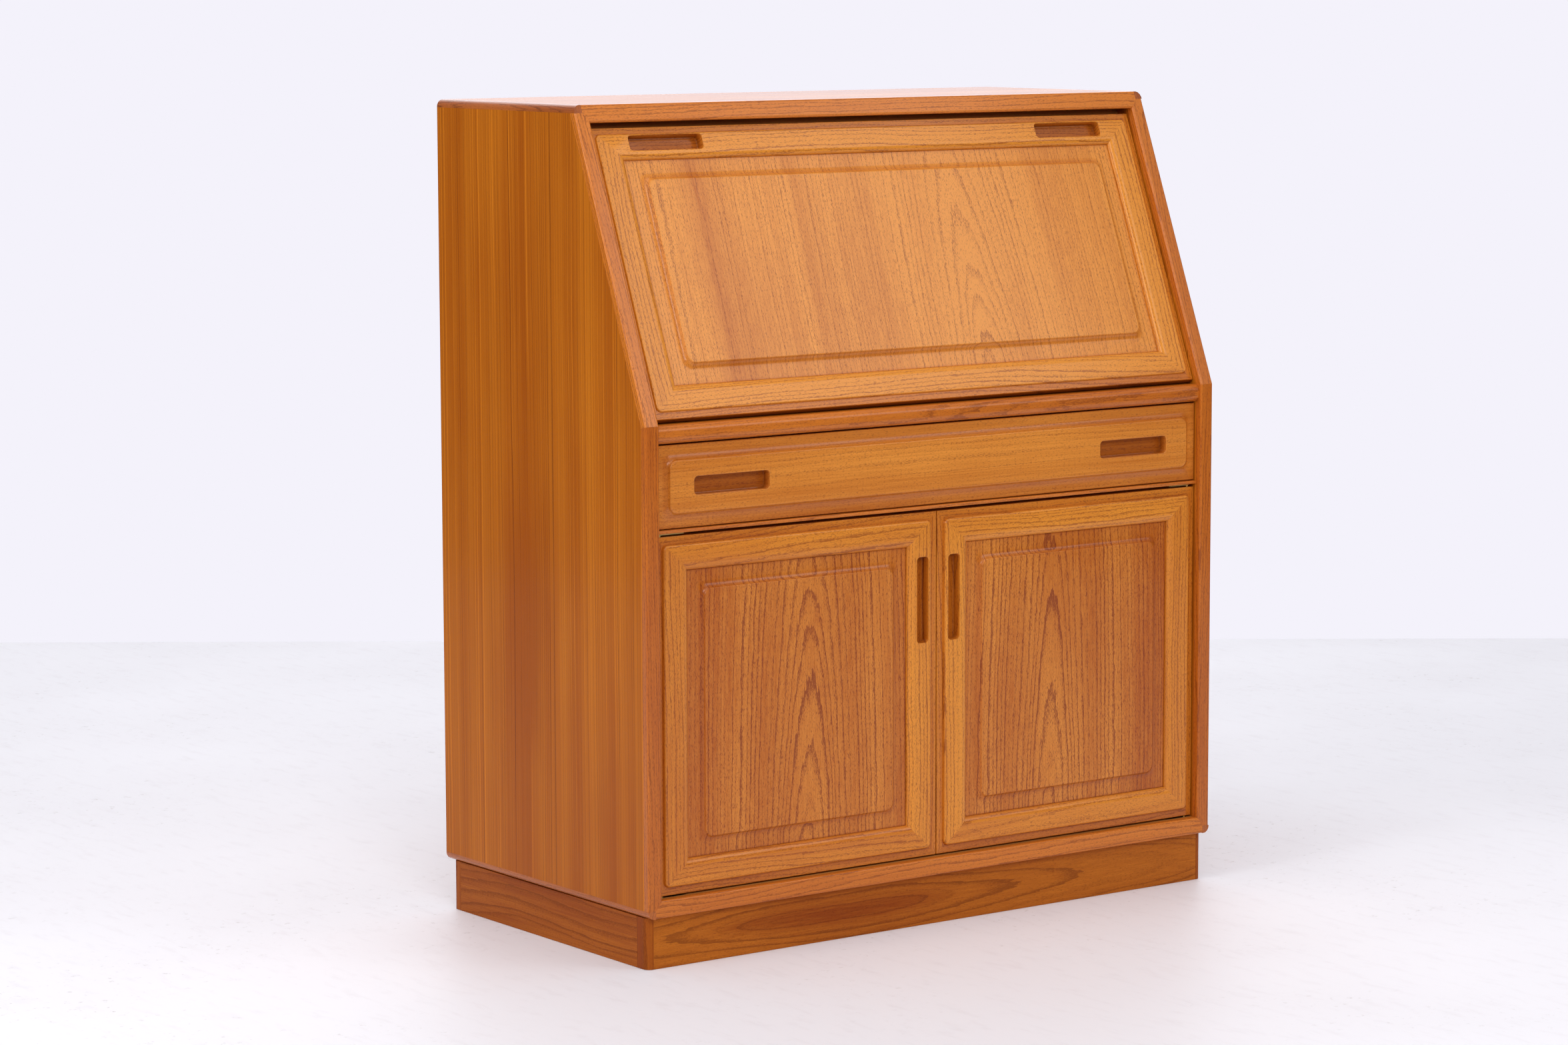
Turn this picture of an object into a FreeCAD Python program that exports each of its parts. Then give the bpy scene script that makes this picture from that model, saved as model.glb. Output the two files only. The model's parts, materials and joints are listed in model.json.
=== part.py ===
"""Teak secretary desk: slanted fall flap, one wide drawer and a two-door cupboard on a plinth.

Units are millimetres. The origin is on the floor under the middle of the desk, +Z is up,
the front faces -Y and the width runs along X.
"""
import FreeCAD
import Part
import math
import os

from FreeCAD import Placement, Rotation, Vector

# ---------------------------------------------------------------- driving sizes
WIDTH = 918.0
DEPTH = 470.0
HEIGHT = 1060.0
KNEE_HEIGHT = 674.5          # where the upright front turns into the slanted one
SLOPE = 21.65                # slanted front's lean from upright, in degrees

SIDE_THICKNESS = 20.5
BOARD_THICKNESS = 22.5       # top board, bottom board and deck
LIPPING_DEPTH = 10.0         # solid wood strip round the front edges
LIPPING_ROUND = 3.0
STRIP_WIDTH = 11.0           # solid corner strip along the long edges of the sides
STRIP_HEIGHT = 10.0
STRIP_ROUND = 9.0

PLINTH_HEIGHT = 65.0
PLINTH_BOARD = 18.0
PLINTH_INSET_SIDE = 4.0
PLINTH_INSET_FRONT = 10.0
POST_WIDTH = 10.0
POST_DEPTH = 22.0
POST_ROUND = 9.0

BACK_THICKNESS = 8.0
BACK_INSET = 2.0

RAIL_SETBACK = 4.0           # deck rail behind the front plane
RAIL_DEPTH = 30.0
RAIL_ROUND = 9.0
BED_GAP = 0.5                # bed to the back of the closed flap

STOP_DEPTH = 14.0            # strip under the top board that the closed flap leans on
STOP_DROP = 25.0
STOP_GAP = 0.3

BEAD_SETBACK = 8.5
BEAD_HEIGHT = 4.5
BEAD_ROUND = 2.0
DIVIDER_THICKNESS = 16.0
DIVIDER_CLEARANCE = 4.0      # divider board behind the doors' backs
DRAWER_OPENING = 106.0       # divider top to the underside of the deck
DOOR_GAP_TOP = 4.0
DOOR_GAP_BOTTOM = 2.0
DOOR_GAP_MIDDLE = 1.6
FRONT_GAP = 1.0              # each side of the drawer front, the doors and the flap

FRONT_SETBACK = 13.0         # outer border of drawer front, doors and flap behind the front plane
FLAP_THICKNESS = 18.0
DOOR_THICKNESS = 20.0
DRAWER_FRONT_THICKNESS = 18.0

# door frame section, measured from the frame's outer edge
DOOR_STEP = 10.5
DOOR_STEP_RISE = 4.5
DOOR_STILE = 47.5
DOOR_RAIL = 43.5
DOOR_OVOLO = 10.0
DOOR_PANEL_SINK = 6.5        # frame face down to the panel's margin
DOOR_PANEL_THICKNESS = 11.0
DOOR_MARGIN = 15.5
FRAME_CORNER_ROUND = 7.0

# flap frame section
FLAP_STEP = 9.0
FLAP_STEP_RISE = 2.5
FLAP_STILE = 45.5
FLAP_RAIL = 42.0
FLAP_OVOLO = 9.0
FLAP_PANEL_SINK = 6.0
FLAP_MARGIN = 17.5
FLAP_FOOT = 12.0             # knee to the flap's lower front edge, along the slope
FLAP_GAP_TOP = 2.5           # flap's upper edge to the top lipping
FLAP_PIVOT_UP = 20.0         # pivot along the slope and behind the front plane
FLAP_PIVOT_IN = 20.1
FLAP_FOOT_ROUND = 10.7       # the foot is an arc about the pivot
PIVOT_PIN_RADIUS = 4.0
PIVOT_PIN_REACH = 14.0
RUNNING_CLEARANCE = 0.05

FIELD_RISE = 5.5             # raised field of the panels
FIELD_COVE = 9.0
FIELD_ROUND = 10.0
DRAWER_FIELD_RISE = 6.8
DRAWER_FIELD_INSET = 9.0
DRAWER_COVE = 10.0

# finger slots: long side, short side
DRAWER_SLOT = (114.0, 23.0)
FLAP_SLOT = (111.5, 20.0)
DOOR_SLOT = (18.5, 111.0)
SLOT_ROUND = 5.0
SLOT_DEPTH = 13.0
SLOT_OUT = 325.5             # slot centres from the middle
FLAP_SLOT_DOWN = 21.0        # slot centre below the flap's upper edge
DOOR_SLOT_IN = 25.5
DOOR_SLOT_DROP = 112.5       # slot centre below the door's upper edge

# hinges and catches
HINGE_AXIS_IN = 10.0         # hinge axis from the side board's inner face
HINGE_AXIS_BACK = 3.5        # and behind the door's border
HINGE_LEAF_LENGTH = 34.0
HINGE_LEAF_HALF = 3.2
HINGE_PLATE = 1.6
HINGE_PIN_RADIUS = 1.8
HINGE_PIN_REACH = 9.0
CATCH_BLOCK = (30.0, 14.0, 12.0)
CATCH_OUT = 60.0
CATCH_GAP = 0.5

# drawer box
DRAWER_SIDE = 12.0
DRAWER_BOX_GAP = 6.5         # drawer side to the side board
DRAWER_BOX_HEIGHT = 84.0
DRAWER_BOX_DEPTH = 395.0
DRAWER_BOTTOM = 5.0
RUNNER_HEIGHT = 9.4
RUNNER_LENGTH = 380.0
GROOVE_DEPTH = 5.0
GROOVE_CLEARANCE = 0.4

# cupboard and pigeonholes
SHELF_THICKNESS = 18.0
SHELF_HEIGHT = 300.0
SHELF_FRONT = 60.0           # behind the front plane
SHELF_GAP = 1.0
PIN_RADIUS = 2.5
PIN_IN = 9.0
PIN_OUT = 8.0
PIGEON_FRONT = 250.0         # behind the front plane
PIGEON_HEIGHT = 95.0
PIGEON_BOARD = 10.0
PIGEON_BAY = 292.0
TRAY_WALL = 8.0
TRAY_FRONT = 12.0
TRAY_GAP = 0.8
TRAY_REST = 0.3
TRAY_LIP = 8.0               # tray walls below the drawer front's upper edge
TRAY_HOLE = (60.0, 16.0)

# folding stays that hold the open flap
STAY_BACK_SHARE = 0.3555          # fixed pivot behind the flap's pin, as a share of the flap
STAY_UP_SHARE = 0.202             # and above it
STAY_FLAP_SHARE = 0.5434          # flap end of the stay from the pin, along the flap
STAY_FLAP_OFF = 6.6               # and behind the flap's back
STAY_REAR_SHARE = 0.579           # rear arm's share of the stretched length
STAY_SLACK = 1.0005
STAY_THICK = 2.0
STAY_WIDE = 12.0
STAY_PLATE = 2.0
STAY_GAP = 0.3
STAY_PIN_RADIUS = 3.0
STAY_HEAD = 1.0
STAY_FOOT = (26.0, 40.0)
STAY_EAR = 18.0

# ---------------------------------------------------------------- derived places
HALF = WIDTH / 2
INNER = HALF - SIDE_THICKNESS
FRONT_Y = -DEPTH / 2
BACK_Y = DEPTH / 2
RISE = HEIGHT - KNEE_HEIGHT
UP = Vector(0, math.sin(math.radians(SLOPE)), math.cos(math.radians(SLOPE)))
IN = Vector(0, math.cos(math.radians(SLOPE)), -math.sin(math.radians(SLOPE)))
KNEE = Vector(0, FRONT_Y, KNEE_HEIGHT)

BODY_BOTTOM = PLINTH_HEIGHT
FLOOR_TOP = BODY_BOTTOM + BOARD_THICKNESS
TOP_UNDER = HEIGHT - BOARD_THICKNESS
RAIL_HEIGHT = BOARD_THICKNESS + 1.0
DECK_UNDER = KNEE_HEIGHT - RAIL_HEIGHT
DIVIDER_TOP = DECK_UNDER - DRAWER_OPENING
DIVIDER_UNDER = DIVIDER_TOP - DIVIDER_THICKNESS
DOOR_TOP = DIVIDER_TOP - BEAD_HEIGHT - DOOR_GAP_TOP
DOOR_BOTTOM = FLOOR_TOP + DOOR_GAP_BOTTOM
DRAWER_BOTTOM_Z = DIVIDER_TOP + 1.0
DRAWER_TOP_Z = DECK_UNDER - 2.0
BACK_FACE = BACK_Y - BACK_INSET - BACK_THICKNESS
PIVOT = KNEE + UP * FLAP_PIVOT_UP + IN * FLAP_PIVOT_IN
PIVOT_TO_FACE = FRONT_SETBACK + FLAP_THICKNESS - FLAP_PIVOT_IN
BED_TOP = PIVOT.z + PIVOT_TO_FACE    # level with the open flap
FLAP_HEAD = (RISE - BOARD_THICKNESS) / UP.z - FLAP_GAP_TOP
FLAP_REACH = FLAP_HEAD - FLAP_PIVOT_UP
STAY_FLAP_UP = STAY_FLAP_SHARE * FLAP_REACH
STAY_FLAP_IN = PIVOT_TO_FACE + STAY_FLAP_OFF
LEFT_RIGHT = ((-1, "left"), (1, "right"))

UPRIGHT = Placement(Vector(0, FRONT_Y, 0), Rotation(Vector(1, 0, 0), 90))
SLANTED = Placement(KNEE, Rotation(Vector(1, 0, 0), 90 - SLOPE))


# ---------------------------------------------------------------- small helpers
def behind(setback):
    """The y of a plane that lies this far behind the front plane."""
    return FRONT_Y + setback


def slope_y(z, setback):
    """The y of the slanted front, set back along its normal, at a height."""
    along = (z - KNEE_HEIGHT - setback * IN.z) / UP.z
    return FRONT_Y + along * UP.y + setback * IN.y


def block(x0, x1, y0, y1, z0, z1):
    return Part.makeBox(x1 - x0, y1 - y0, z1 - z0, Vector(x0, y0, z0))


def prism_x(points, x0, x1):
    """Extrude a (y, z) outline along X."""
    corners = [Vector(x0, y, z) for y, z in points]
    return Part.Face(Part.makePolygon(corners + corners[:1])).extrude(Vector(x1 - x0, 0, 0))


def prism_y(points, y0=-DEPTH, y1=DEPTH):
    """Extrude an (x, z) outline along Y."""
    corners = [Vector(x, y0, z) for x, z in points]
    return Part.Face(Part.makePolygon(corners + corners[:1])).extrude(Vector(0, y1 - y0, 0))


def rod_x(x0, x1, y, z, radius):
    return Part.makeCylinder(radius, abs(x1 - x0), Vector(min(x0, x1), y, z), Vector(1, 0, 0))


def rod_z(x, y, z0, z1, radius):
    return Part.makeCylinder(radius, z1 - z0, Vector(x, y, z0))


def round_edges(shape, radius, wanted):
    """Fillet the edges whose middle point and direction pass the test."""
    chosen = []
    for edge in shape.Edges:
        ends = [vertex.Point for vertex in edge.Vertexes]
        if len(ends) == 2 and wanted((ends[0] + ends[1]) * 0.5, (ends[1] - ends[0]).normalize()):
            chosen.append(edge)
    return shape.makeFillet(radius, chosen)


def round_wire(x0, x1, y0, y1, z, radius):
    """Closed rectangle with rounded corners in a plane of constant z."""
    turn = radius * (1 - math.sqrt(0.5))
    edges = [
        Part.LineSegment(Vector(x0 + radius, y0, z), Vector(x1 - radius, y0, z)),
        Part.Arc(Vector(x1 - radius, y0, z), Vector(x1 - turn, y0 + turn, z), Vector(x1, y0 + radius, z)),
        Part.LineSegment(Vector(x1, y0 + radius, z), Vector(x1, y1 - radius, z)),
        Part.Arc(Vector(x1, y1 - radius, z), Vector(x1 - turn, y1 - turn, z), Vector(x1 - radius, y1, z)),
        Part.LineSegment(Vector(x1 - radius, y1, z), Vector(x0 + radius, y1, z)),
        Part.Arc(Vector(x0 + radius, y1, z), Vector(x0 + turn, y1 - turn, z), Vector(x0, y1 - radius, z)),
        Part.LineSegment(Vector(x0, y1 - radius, z), Vector(x0, y0 + radius, z)),
        Part.Arc(Vector(x0, y0 + radius, z), Vector(x0 + turn, y0 + turn, z), Vector(x0 + radius, y0, z)),
    ]
    return Part.Wire([edge.toShape() for edge in edges])


def round_prism(x0, x1, y0, y1, z0, z1, radius):
    return Part.Face(round_wire(x0, x1, y0, y1, z0, radius)).extrude(Vector(0, 0, z1 - z0))


def raised_field(x0, x1, y0, y1, low, rise, cove, radius):
    """Raised field with a hollow edge: x0..y1 is the foot, which climbs to the flat over the cove."""
    steps = 4
    wires = []
    for step in range(steps + 1):
        share = step / steps
        inset = cove * share
        level = low + rise * (1 - math.sqrt(1 - share ** 2))
        wires.append(round_wire(x0 + inset, x1 - inset, y0 + inset, y1 - inset, level, radius))
    return Part.makeLoft(wires, True, True)


def mitred_frame(x0, x1, y0, y1, base, thick, step, rise, stile, rail, ovolo, sink):
    """Four mitred frame members. The base level is the outer border; the face stands up by rise."""
    face = base + rise
    panel = face - sink
    outer = block(x0, x1, y0, y1, base - thick, base)
    crown = round_prism(x0 + step, x1 - step, y0 + step, y1 - step, base, face, FRAME_CORNER_ROUND)
    crown = round_edges(crown, rise * 0.6, lambda middle, way: middle.z > face - 0.01)
    hole = (x0 + stile, x1 - stile, y0 + rail, y1 - rail)
    opening = block(*hole, base - thick - 1, face + 1)
    curve = []
    for share in (0.0, 0.3, 0.6, 0.85, 1.0):
        spread = ovolo * share
        level = panel + sink * math.sqrt(1 - (1 - share) ** 2)
        curve.append(Part.makePolygon([
            Vector(hole[0] - spread, hole[2] - spread, level),
            Vector(hole[1] + spread, hole[2] - spread, level),
            Vector(hole[1] + spread, hole[3] + spread, level),
            Vector(hole[0] - spread, hole[3] + spread, level),
            Vector(hole[0] - spread, hole[2] - spread, level),
        ]))
    whole = outer.fuse(crown).cut(opening).cut(Part.makeLoft(curve, True, True)).removeSplitter()
    corners = {
        "stile_left": [(x0, y0), (hole[0], hole[2]), (hole[0], hole[3]), (x0, y1)],
        "stile_right": [(x1, y0), (x1, y1), (hole[1], hole[3]), (hole[1], hole[2])],
        "rail_top": [(x0, y1), (hole[0], hole[3]), (hole[1], hole[3]), (x1, y1)],
        "rail_bottom": [(x0, y0), (x1, y0), (hole[1], hole[2]), (hole[0], hole[2])],
    }
    members = {}
    for name, outline in corners.items():
        points = [Vector(x, y, base - thick - 1) for x, y in outline]
        wedge = Part.Face(Part.makePolygon(points + points[:1])).extrude(Vector(0, 0, thick + rise + 2))
        members[name] = whole.common(wedge)
    return members, hole, panel


def framed_panel(hole, margin, level, back, cove=FIELD_COVE):
    """Panel that fills a frame's opening, with a raised field."""
    slab = block(hole[0], hole[1], hole[2], hole[3], back, level)
    field = raised_field(
        hole[0] + margin, hole[1] - margin, hole[2] + margin, hole[3] - margin,
        level, FIELD_RISE, cove, FIELD_ROUND,
    )
    return slab.fuse(field).removeSplitter()


def finger_slot(x, y, size, top):
    """Blind pocket for the fingertips, cut from the face down."""
    return round_prism(
        x - size[0] / 2, x + size[0] / 2, y - size[1] / 2, y + size[1] / 2,
        top - SLOT_DEPTH, top + 20, SLOT_ROUND,
    )


def on_front(middle):
    """True for a point in the upright or the slanted front plane."""
    upright = abs(middle.y - FRONT_Y) < 0.01 and middle.z < KNEE_HEIGHT
    slanted = abs((middle - KNEE).dot(IN)) < 0.01 and middle.z > KNEE_HEIGHT
    return upright or slanted


def across_front(middle, way):
    return on_front(middle) and abs(way.x) > 0.99


def up_front(middle, way):
    return on_front(middle) and abs(way.x) < 0.01


parts = {}


# ---------------------------------------------------------------- carcass
def carcass():
    strip_top = HEIGHT - STRIP_HEIGHT
    strip_bottom = BODY_BOTTOM + STRIP_HEIGHT
    strip_in = HALF - STRIP_WIDTH
    inner_knee = KNEE_HEIGHT - LIPPING_DEPTH * math.tan(math.radians(SLOPE / 2))
    side = [
        (behind(LIPPING_DEPTH), strip_bottom),
        (behind(LIPPING_DEPTH), inner_knee),
        (slope_y(strip_top, LIPPING_DEPTH), strip_top),
        (BACK_Y, strip_top),
        (BACK_Y, strip_bottom),
    ]
    top_main = [
        (slope_y(TOP_UNDER, LIPPING_DEPTH), TOP_UNDER),
        (slope_y(HEIGHT, LIPPING_DEPTH), HEIGHT),
        (BACK_Y, HEIGHT),
        (BACK_Y, TOP_UNDER),
    ]
    top_edge = [
        (slope_y(strip_top, LIPPING_DEPTH), strip_top),
        (slope_y(HEIGHT, LIPPING_DEPTH), HEIGHT),
        (BACK_Y, HEIGHT),
        (BACK_Y, strip_top),
    ]
    front_edge = [
        (slope_y(strip_top, 0), strip_top),
        (slope_y(HEIGHT, 0), HEIGHT),
        (BACK_Y, HEIGHT),
        (BACK_Y, strip_top),
    ]
    for sign, name in LEFT_RIGHT:
        board = prism_x(side, sign * INNER, sign * HALF)
        for hole in pivot_holes(sign):
            board = board.cut(hole)
        parts["side_" + name] = board

    top = prism_x(top_main, -INNER, INNER).fuse(prism_x(top_edge, -strip_in, strip_in))
    parts["top_panel"] = top.removeSplitter()
    bottom = block(-INNER, INNER, behind(LIPPING_DEPTH), BACK_Y, BODY_BOTTOM, FLOOR_TOP)
    tongue = block(-strip_in, strip_in, behind(LIPPING_DEPTH), BACK_Y, BODY_BOTTOM, strip_bottom)
    bottom = bottom.fuse(tongue)
    for sign, name in LEFT_RIGHT:
        bottom = bottom.cut(hinge_seat(sign, FLOOR_TOP - HINGE_PLATE, FLOOR_TOP))
    parts["bottom_panel"] = bottom.removeSplitter()
    parts["back_panel"] = block(-INNER, INNER, BACK_FACE, BACK_FACE + BACK_THICKNESS, FLOOR_TOP, TOP_UNDER)

    def long_outer(z, middle, way):
        return abs(way.y) > 0.99 and abs(middle.x) > HALF - 0.01 and abs(middle.z - z) < 0.01

    top_strips = []
    bottom_strips = []
    for sign, name in LEFT_RIGHT:
        strip = prism_x(front_edge, sign * strip_in, sign * HALF)
        top_strips.append(round_edges(
            strip, STRIP_ROUND, lambda middle, way: long_outer(HEIGHT, middle, way),
        ))
        edges = sorted((sign * strip_in, sign * HALF))
        strip = block(edges[0], edges[1], FRONT_Y, BACK_Y, BODY_BOTTOM, strip_bottom)
        bottom_strips.append(round_edges(
            strip, STRIP_ROUND, lambda middle, way: long_outer(BODY_BOTTOM, middle, way),
        ))
    parts["corner_strips_top"] = Part.makeCompound(top_strips)
    parts["corner_strips_bottom"] = Part.makeCompound(bottom_strips)
    lippings(strip_in, strip_top, strip_bottom, inner_knee)


def lippings(strip_in, strip_top, strip_bottom, inner_knee):
    """Solid strips round the front, mitred at the corners and at the knee."""
    top = prism_x([
        (slope_y(TOP_UNDER, 0), TOP_UNDER),
        (slope_y(HEIGHT, 0), HEIGHT),
        (slope_y(HEIGHT, LIPPING_DEPTH), HEIGHT),
        (slope_y(TOP_UNDER, LIPPING_DEPTH), TOP_UNDER),
    ], -HALF, HALF)
    top = top.common(prism_y([
        (-strip_in, HEIGHT), (strip_in, HEIGHT), (strip_in, strip_top),
        (INNER, TOP_UNDER), (-INNER, TOP_UNDER), (-strip_in, strip_top),
    ]))
    parts["lipping_top"] = round_edges(top, LIPPING_ROUND, across_front)
    bottom = block(-HALF, HALF, FRONT_Y, behind(LIPPING_DEPTH), BODY_BOTTOM, FLOOR_TOP)
    bottom = bottom.common(prism_y([
        (-strip_in, BODY_BOTTOM), (strip_in, BODY_BOTTOM), (strip_in, strip_bottom),
        (INNER, FLOOR_TOP), (-INNER, FLOOR_TOP), (-strip_in, strip_bottom),
    ]))
    parts["lipping_bottom"] = round_edges(bottom, LIPPING_ROUND, across_front)
    upper = [
        (FRONT_Y, KNEE_HEIGHT),
        (slope_y(HEIGHT, 0), HEIGHT),
        (slope_y(HEIGHT, LIPPING_DEPTH), HEIGHT),
        (behind(LIPPING_DEPTH), inner_knee),
    ]
    lower = [
        (FRONT_Y, BODY_BOTTOM),
        (FRONT_Y, KNEE_HEIGHT),
        (behind(LIPPING_DEPTH), inner_knee),
        (behind(LIPPING_DEPTH), BODY_BOTTOM),
    ]
    for sign, name in LEFT_RIGHT:
        head = prism_y([
            (sign * HALF, DIVIDER_TOP), (sign * HALF, strip_top), (sign * strip_in, strip_top),
            (sign * INNER, TOP_UNDER), (sign * INNER, DIVIDER_TOP),
        ])
        foot = prism_y([
            (sign * HALF, strip_bottom), (sign * HALF, HEIGHT), (sign * INNER, HEIGHT),
            (sign * INNER, FLOOR_TOP), (sign * strip_in, strip_bottom),
        ])
        strip = prism_x(upper, sign * INNER, sign * HALF).common(head)
        parts["lipping_upper_" + name] = round_edges(strip, LIPPING_ROUND, up_front)
        strip = prism_x(lower, sign * INNER, sign * HALF).common(foot)
        parts["lipping_lower_" + name] = round_edges(strip, LIPPING_ROUND, up_front)


def pivot_holes(sign):
    """Holes in a side board: the flap's pin, the stay's pin and the shelf pins."""
    face = sign * INNER
    holes = [
        rod_x(face, face + sign * PIVOT_PIN_REACH, PIVOT.y, PIVOT.z, PIVOT_PIN_RADIUS),
    ]
    for y in shelf_pin_places():
        holes.append(rod_x(face, face + sign * PIN_IN, y, SHELF_HEIGHT - PIN_RADIUS, PIN_RADIUS))
    return holes


def shelf_pin_places():
    return (behind(SHELF_FRONT) + 45, BACK_FACE - 45)


def hinge_place(sign):
    """The x and y of a door's hinge axis."""
    return sign * (INNER - HINGE_AXIS_IN), behind(FRONT_SETBACK + HINGE_AXIS_BACK)


def hinge_seat(sign, z0, z1):
    """Space of one hinge leaf: a plate that runs inwards from the axis, with a round nose."""
    x, y = hinge_place(sign)
    nose = rod_z(x, y, z0, z1, HINGE_LEAF_HALF)
    edges = sorted((x, x - sign * HINGE_LEAF_LENGTH))
    tail = block(edges[0], edges[1], y - HINGE_LEAF_HALF, y + HINGE_LEAF_HALF, z0, z1)
    return nose.fuse(tail).removeSplitter()


# ---------------------------------------------------------------- deck, divider, shelf and pigeonholes
def interior():
    deck_front = behind(RAIL_SETBACK + RAIL_DEPTH)
    rail = block(-INNER, INNER, behind(RAIL_SETBACK), deck_front, DECK_UNDER, KNEE_HEIGHT)
    parts["deck_rail"] = round_edges(
        rail, RAIL_ROUND,
        lambda middle, way: abs(way.x) > 0.99 and middle.y < behind(RAIL_SETBACK) + 0.01,
    )
    parts["deck_panel"] = block(-INNER, INNER, deck_front, BACK_FACE, DECK_UNDER, KNEE_HEIGHT)
    flap_back = FRONT_SETBACK + FLAP_THICKNESS + BED_GAP
    heel = PIVOT + IN * (PIVOT_TO_FACE + BED_GAP)
    parts["writing_bed"] = prism_x([
        (heel.y, KNEE_HEIGHT),
        (heel.y, heel.z),
        (slope_y(BED_TOP, flap_back), BED_TOP),
        (BACK_FACE, BED_TOP),
        (BACK_FACE, KNEE_HEIGHT),
    ], -INNER, INNER)
    stop_under = TOP_UNDER - STOP_DROP
    stop_at = FRONT_SETBACK + FLAP_THICKNESS + STOP_GAP
    stop_back = slope_y(TOP_UNDER, stop_at) + STOP_DEPTH
    parts["flap_stop"] = prism_x([
        (slope_y(stop_under, stop_at), stop_under),
        (slope_y(TOP_UNDER, stop_at), TOP_UNDER),
        (stop_back, TOP_UNDER),
        (stop_back, stop_under),
    ], -INNER, INNER)

    divider_front = behind(FRONT_SETBACK + DOOR_THICKNESS + DIVIDER_CLEARANCE)
    parts["divider_panel"] = block(-INNER, INNER, divider_front, BACK_FACE, DIVIDER_UNDER, DIVIDER_TOP)
    bead = block(-INNER, INNER, behind(BEAD_SETBACK), divider_front, DIVIDER_TOP - BEAD_HEIGHT, DIVIDER_TOP)
    parts["divider_bead"] = round_edges(
        bead, BEAD_ROUND,
        lambda middle, way: abs(way.x) > 0.99 and middle.y < behind(BEAD_SETBACK) + 0.01,
    )
    parts["cupboard_shelf"] = block(
        -INNER + SHELF_GAP, INNER - SHELF_GAP, behind(SHELF_FRONT), BACK_FACE - SHELF_GAP,
        SHELF_HEIGHT, SHELF_HEIGHT + SHELF_THICKNESS,
    )
    pins = []
    for sign, name in LEFT_RIGHT:
        for y in shelf_pin_places():
            pins.append(rod_x(
                sign * (INNER - PIN_OUT), sign * (INNER + PIN_IN), y, SHELF_HEIGHT - PIN_RADIUS, PIN_RADIUS,
            ))
    parts["shelf_pins"] = Part.makeCompound(pins)

    front = behind(PIGEON_FRONT)
    top = BED_TOP + PIGEON_HEIGHT
    parts["pigeonhole_shelf"] = block(-INNER, INNER, front, BACK_FACE, top, top + PIGEON_BOARD)
    for sign, name in LEFT_RIGHT:
        edges = sorted((sign * PIGEON_BAY / 2, sign * (PIGEON_BAY / 2 + PIGEON_BOARD)))
        parts["pigeonhole_partition_" + name] = block(edges[0], edges[1], front, BACK_FACE, BED_TOP, top)

    x = PIGEON_BAY / 2 - TRAY_GAP
    z0 = BED_TOP + TRAY_REST
    z1 = top - TRAY_GAP
    y0 = front + 1.0
    y1 = y0 + TRAY_FRONT
    y2 = BACK_FACE - 6.0
    face = block(-x, x, y0, y1, z0, z1)
    hole = round_prism(
        -TRAY_HOLE[0] / 2, TRAY_HOLE[0] / 2, (z0 + z1 - TRAY_HOLE[1]) / 2, (z0 + z1 + TRAY_HOLE[1]) / 2,
        -TRAY_FRONT * 3, TRAY_FRONT * 3, TRAY_HOLE[1] * 0.45,
    )
    hole.Placement = Placement(Vector(0, y0, 0), Rotation(Vector(1, 0, 0), 90))
    parts["inner_drawer_front"] = face.cut(hole)
    tray = block(-x, x, y1, y2, z0, z1 - TRAY_LIP)
    tray = tray.cut(block(-x + TRAY_WALL, x - TRAY_WALL, y1 - 1, y2 - TRAY_WALL, z0 + DRAWER_BOTTOM, z1))
    parts["inner_drawer_tray"] = tray


# ---------------------------------------------------------------- plinth
def plinth():
    front = behind(PLINTH_INSET_FRONT)
    back = BACK_Y - PLINTH_INSET_FRONT
    out = HALF - PLINTH_INSET_SIDE
    rear = back - PLINTH_BOARD
    span = out - POST_WIDTH
    parts["plinth_front"] = block(-span, span, front, front + PLINTH_BOARD, 0, PLINTH_HEIGHT)
    parts["plinth_back"] = block(-span, span, rear, back, 0, PLINTH_HEIGHT)
    posts = []
    for sign, name in LEFT_RIGHT:
        edges = sorted((sign * out, sign * (out - PLINTH_BOARD)))
        parts["plinth_" + name] = block(edges[0], edges[1], front + POST_DEPTH, rear, 0, PLINTH_HEIGHT)
        edges = sorted((sign * out, sign * (out - POST_WIDTH)))
        for y0, y1, corner in ((front, front + POST_DEPTH, front), (rear, back, back)):
            post = block(edges[0], edges[1], y0, y1, 0, PLINTH_HEIGHT)
            posts.append(round_edges(
                post, POST_ROUND,
                lambda middle, way: abs(way.z) > 0.99 and abs(abs(middle.x) - out) < 0.01
                and abs(middle.y - corner) < 0.01,
            ))
    parts["plinth_posts"] = Part.makeCompound(posts)


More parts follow.
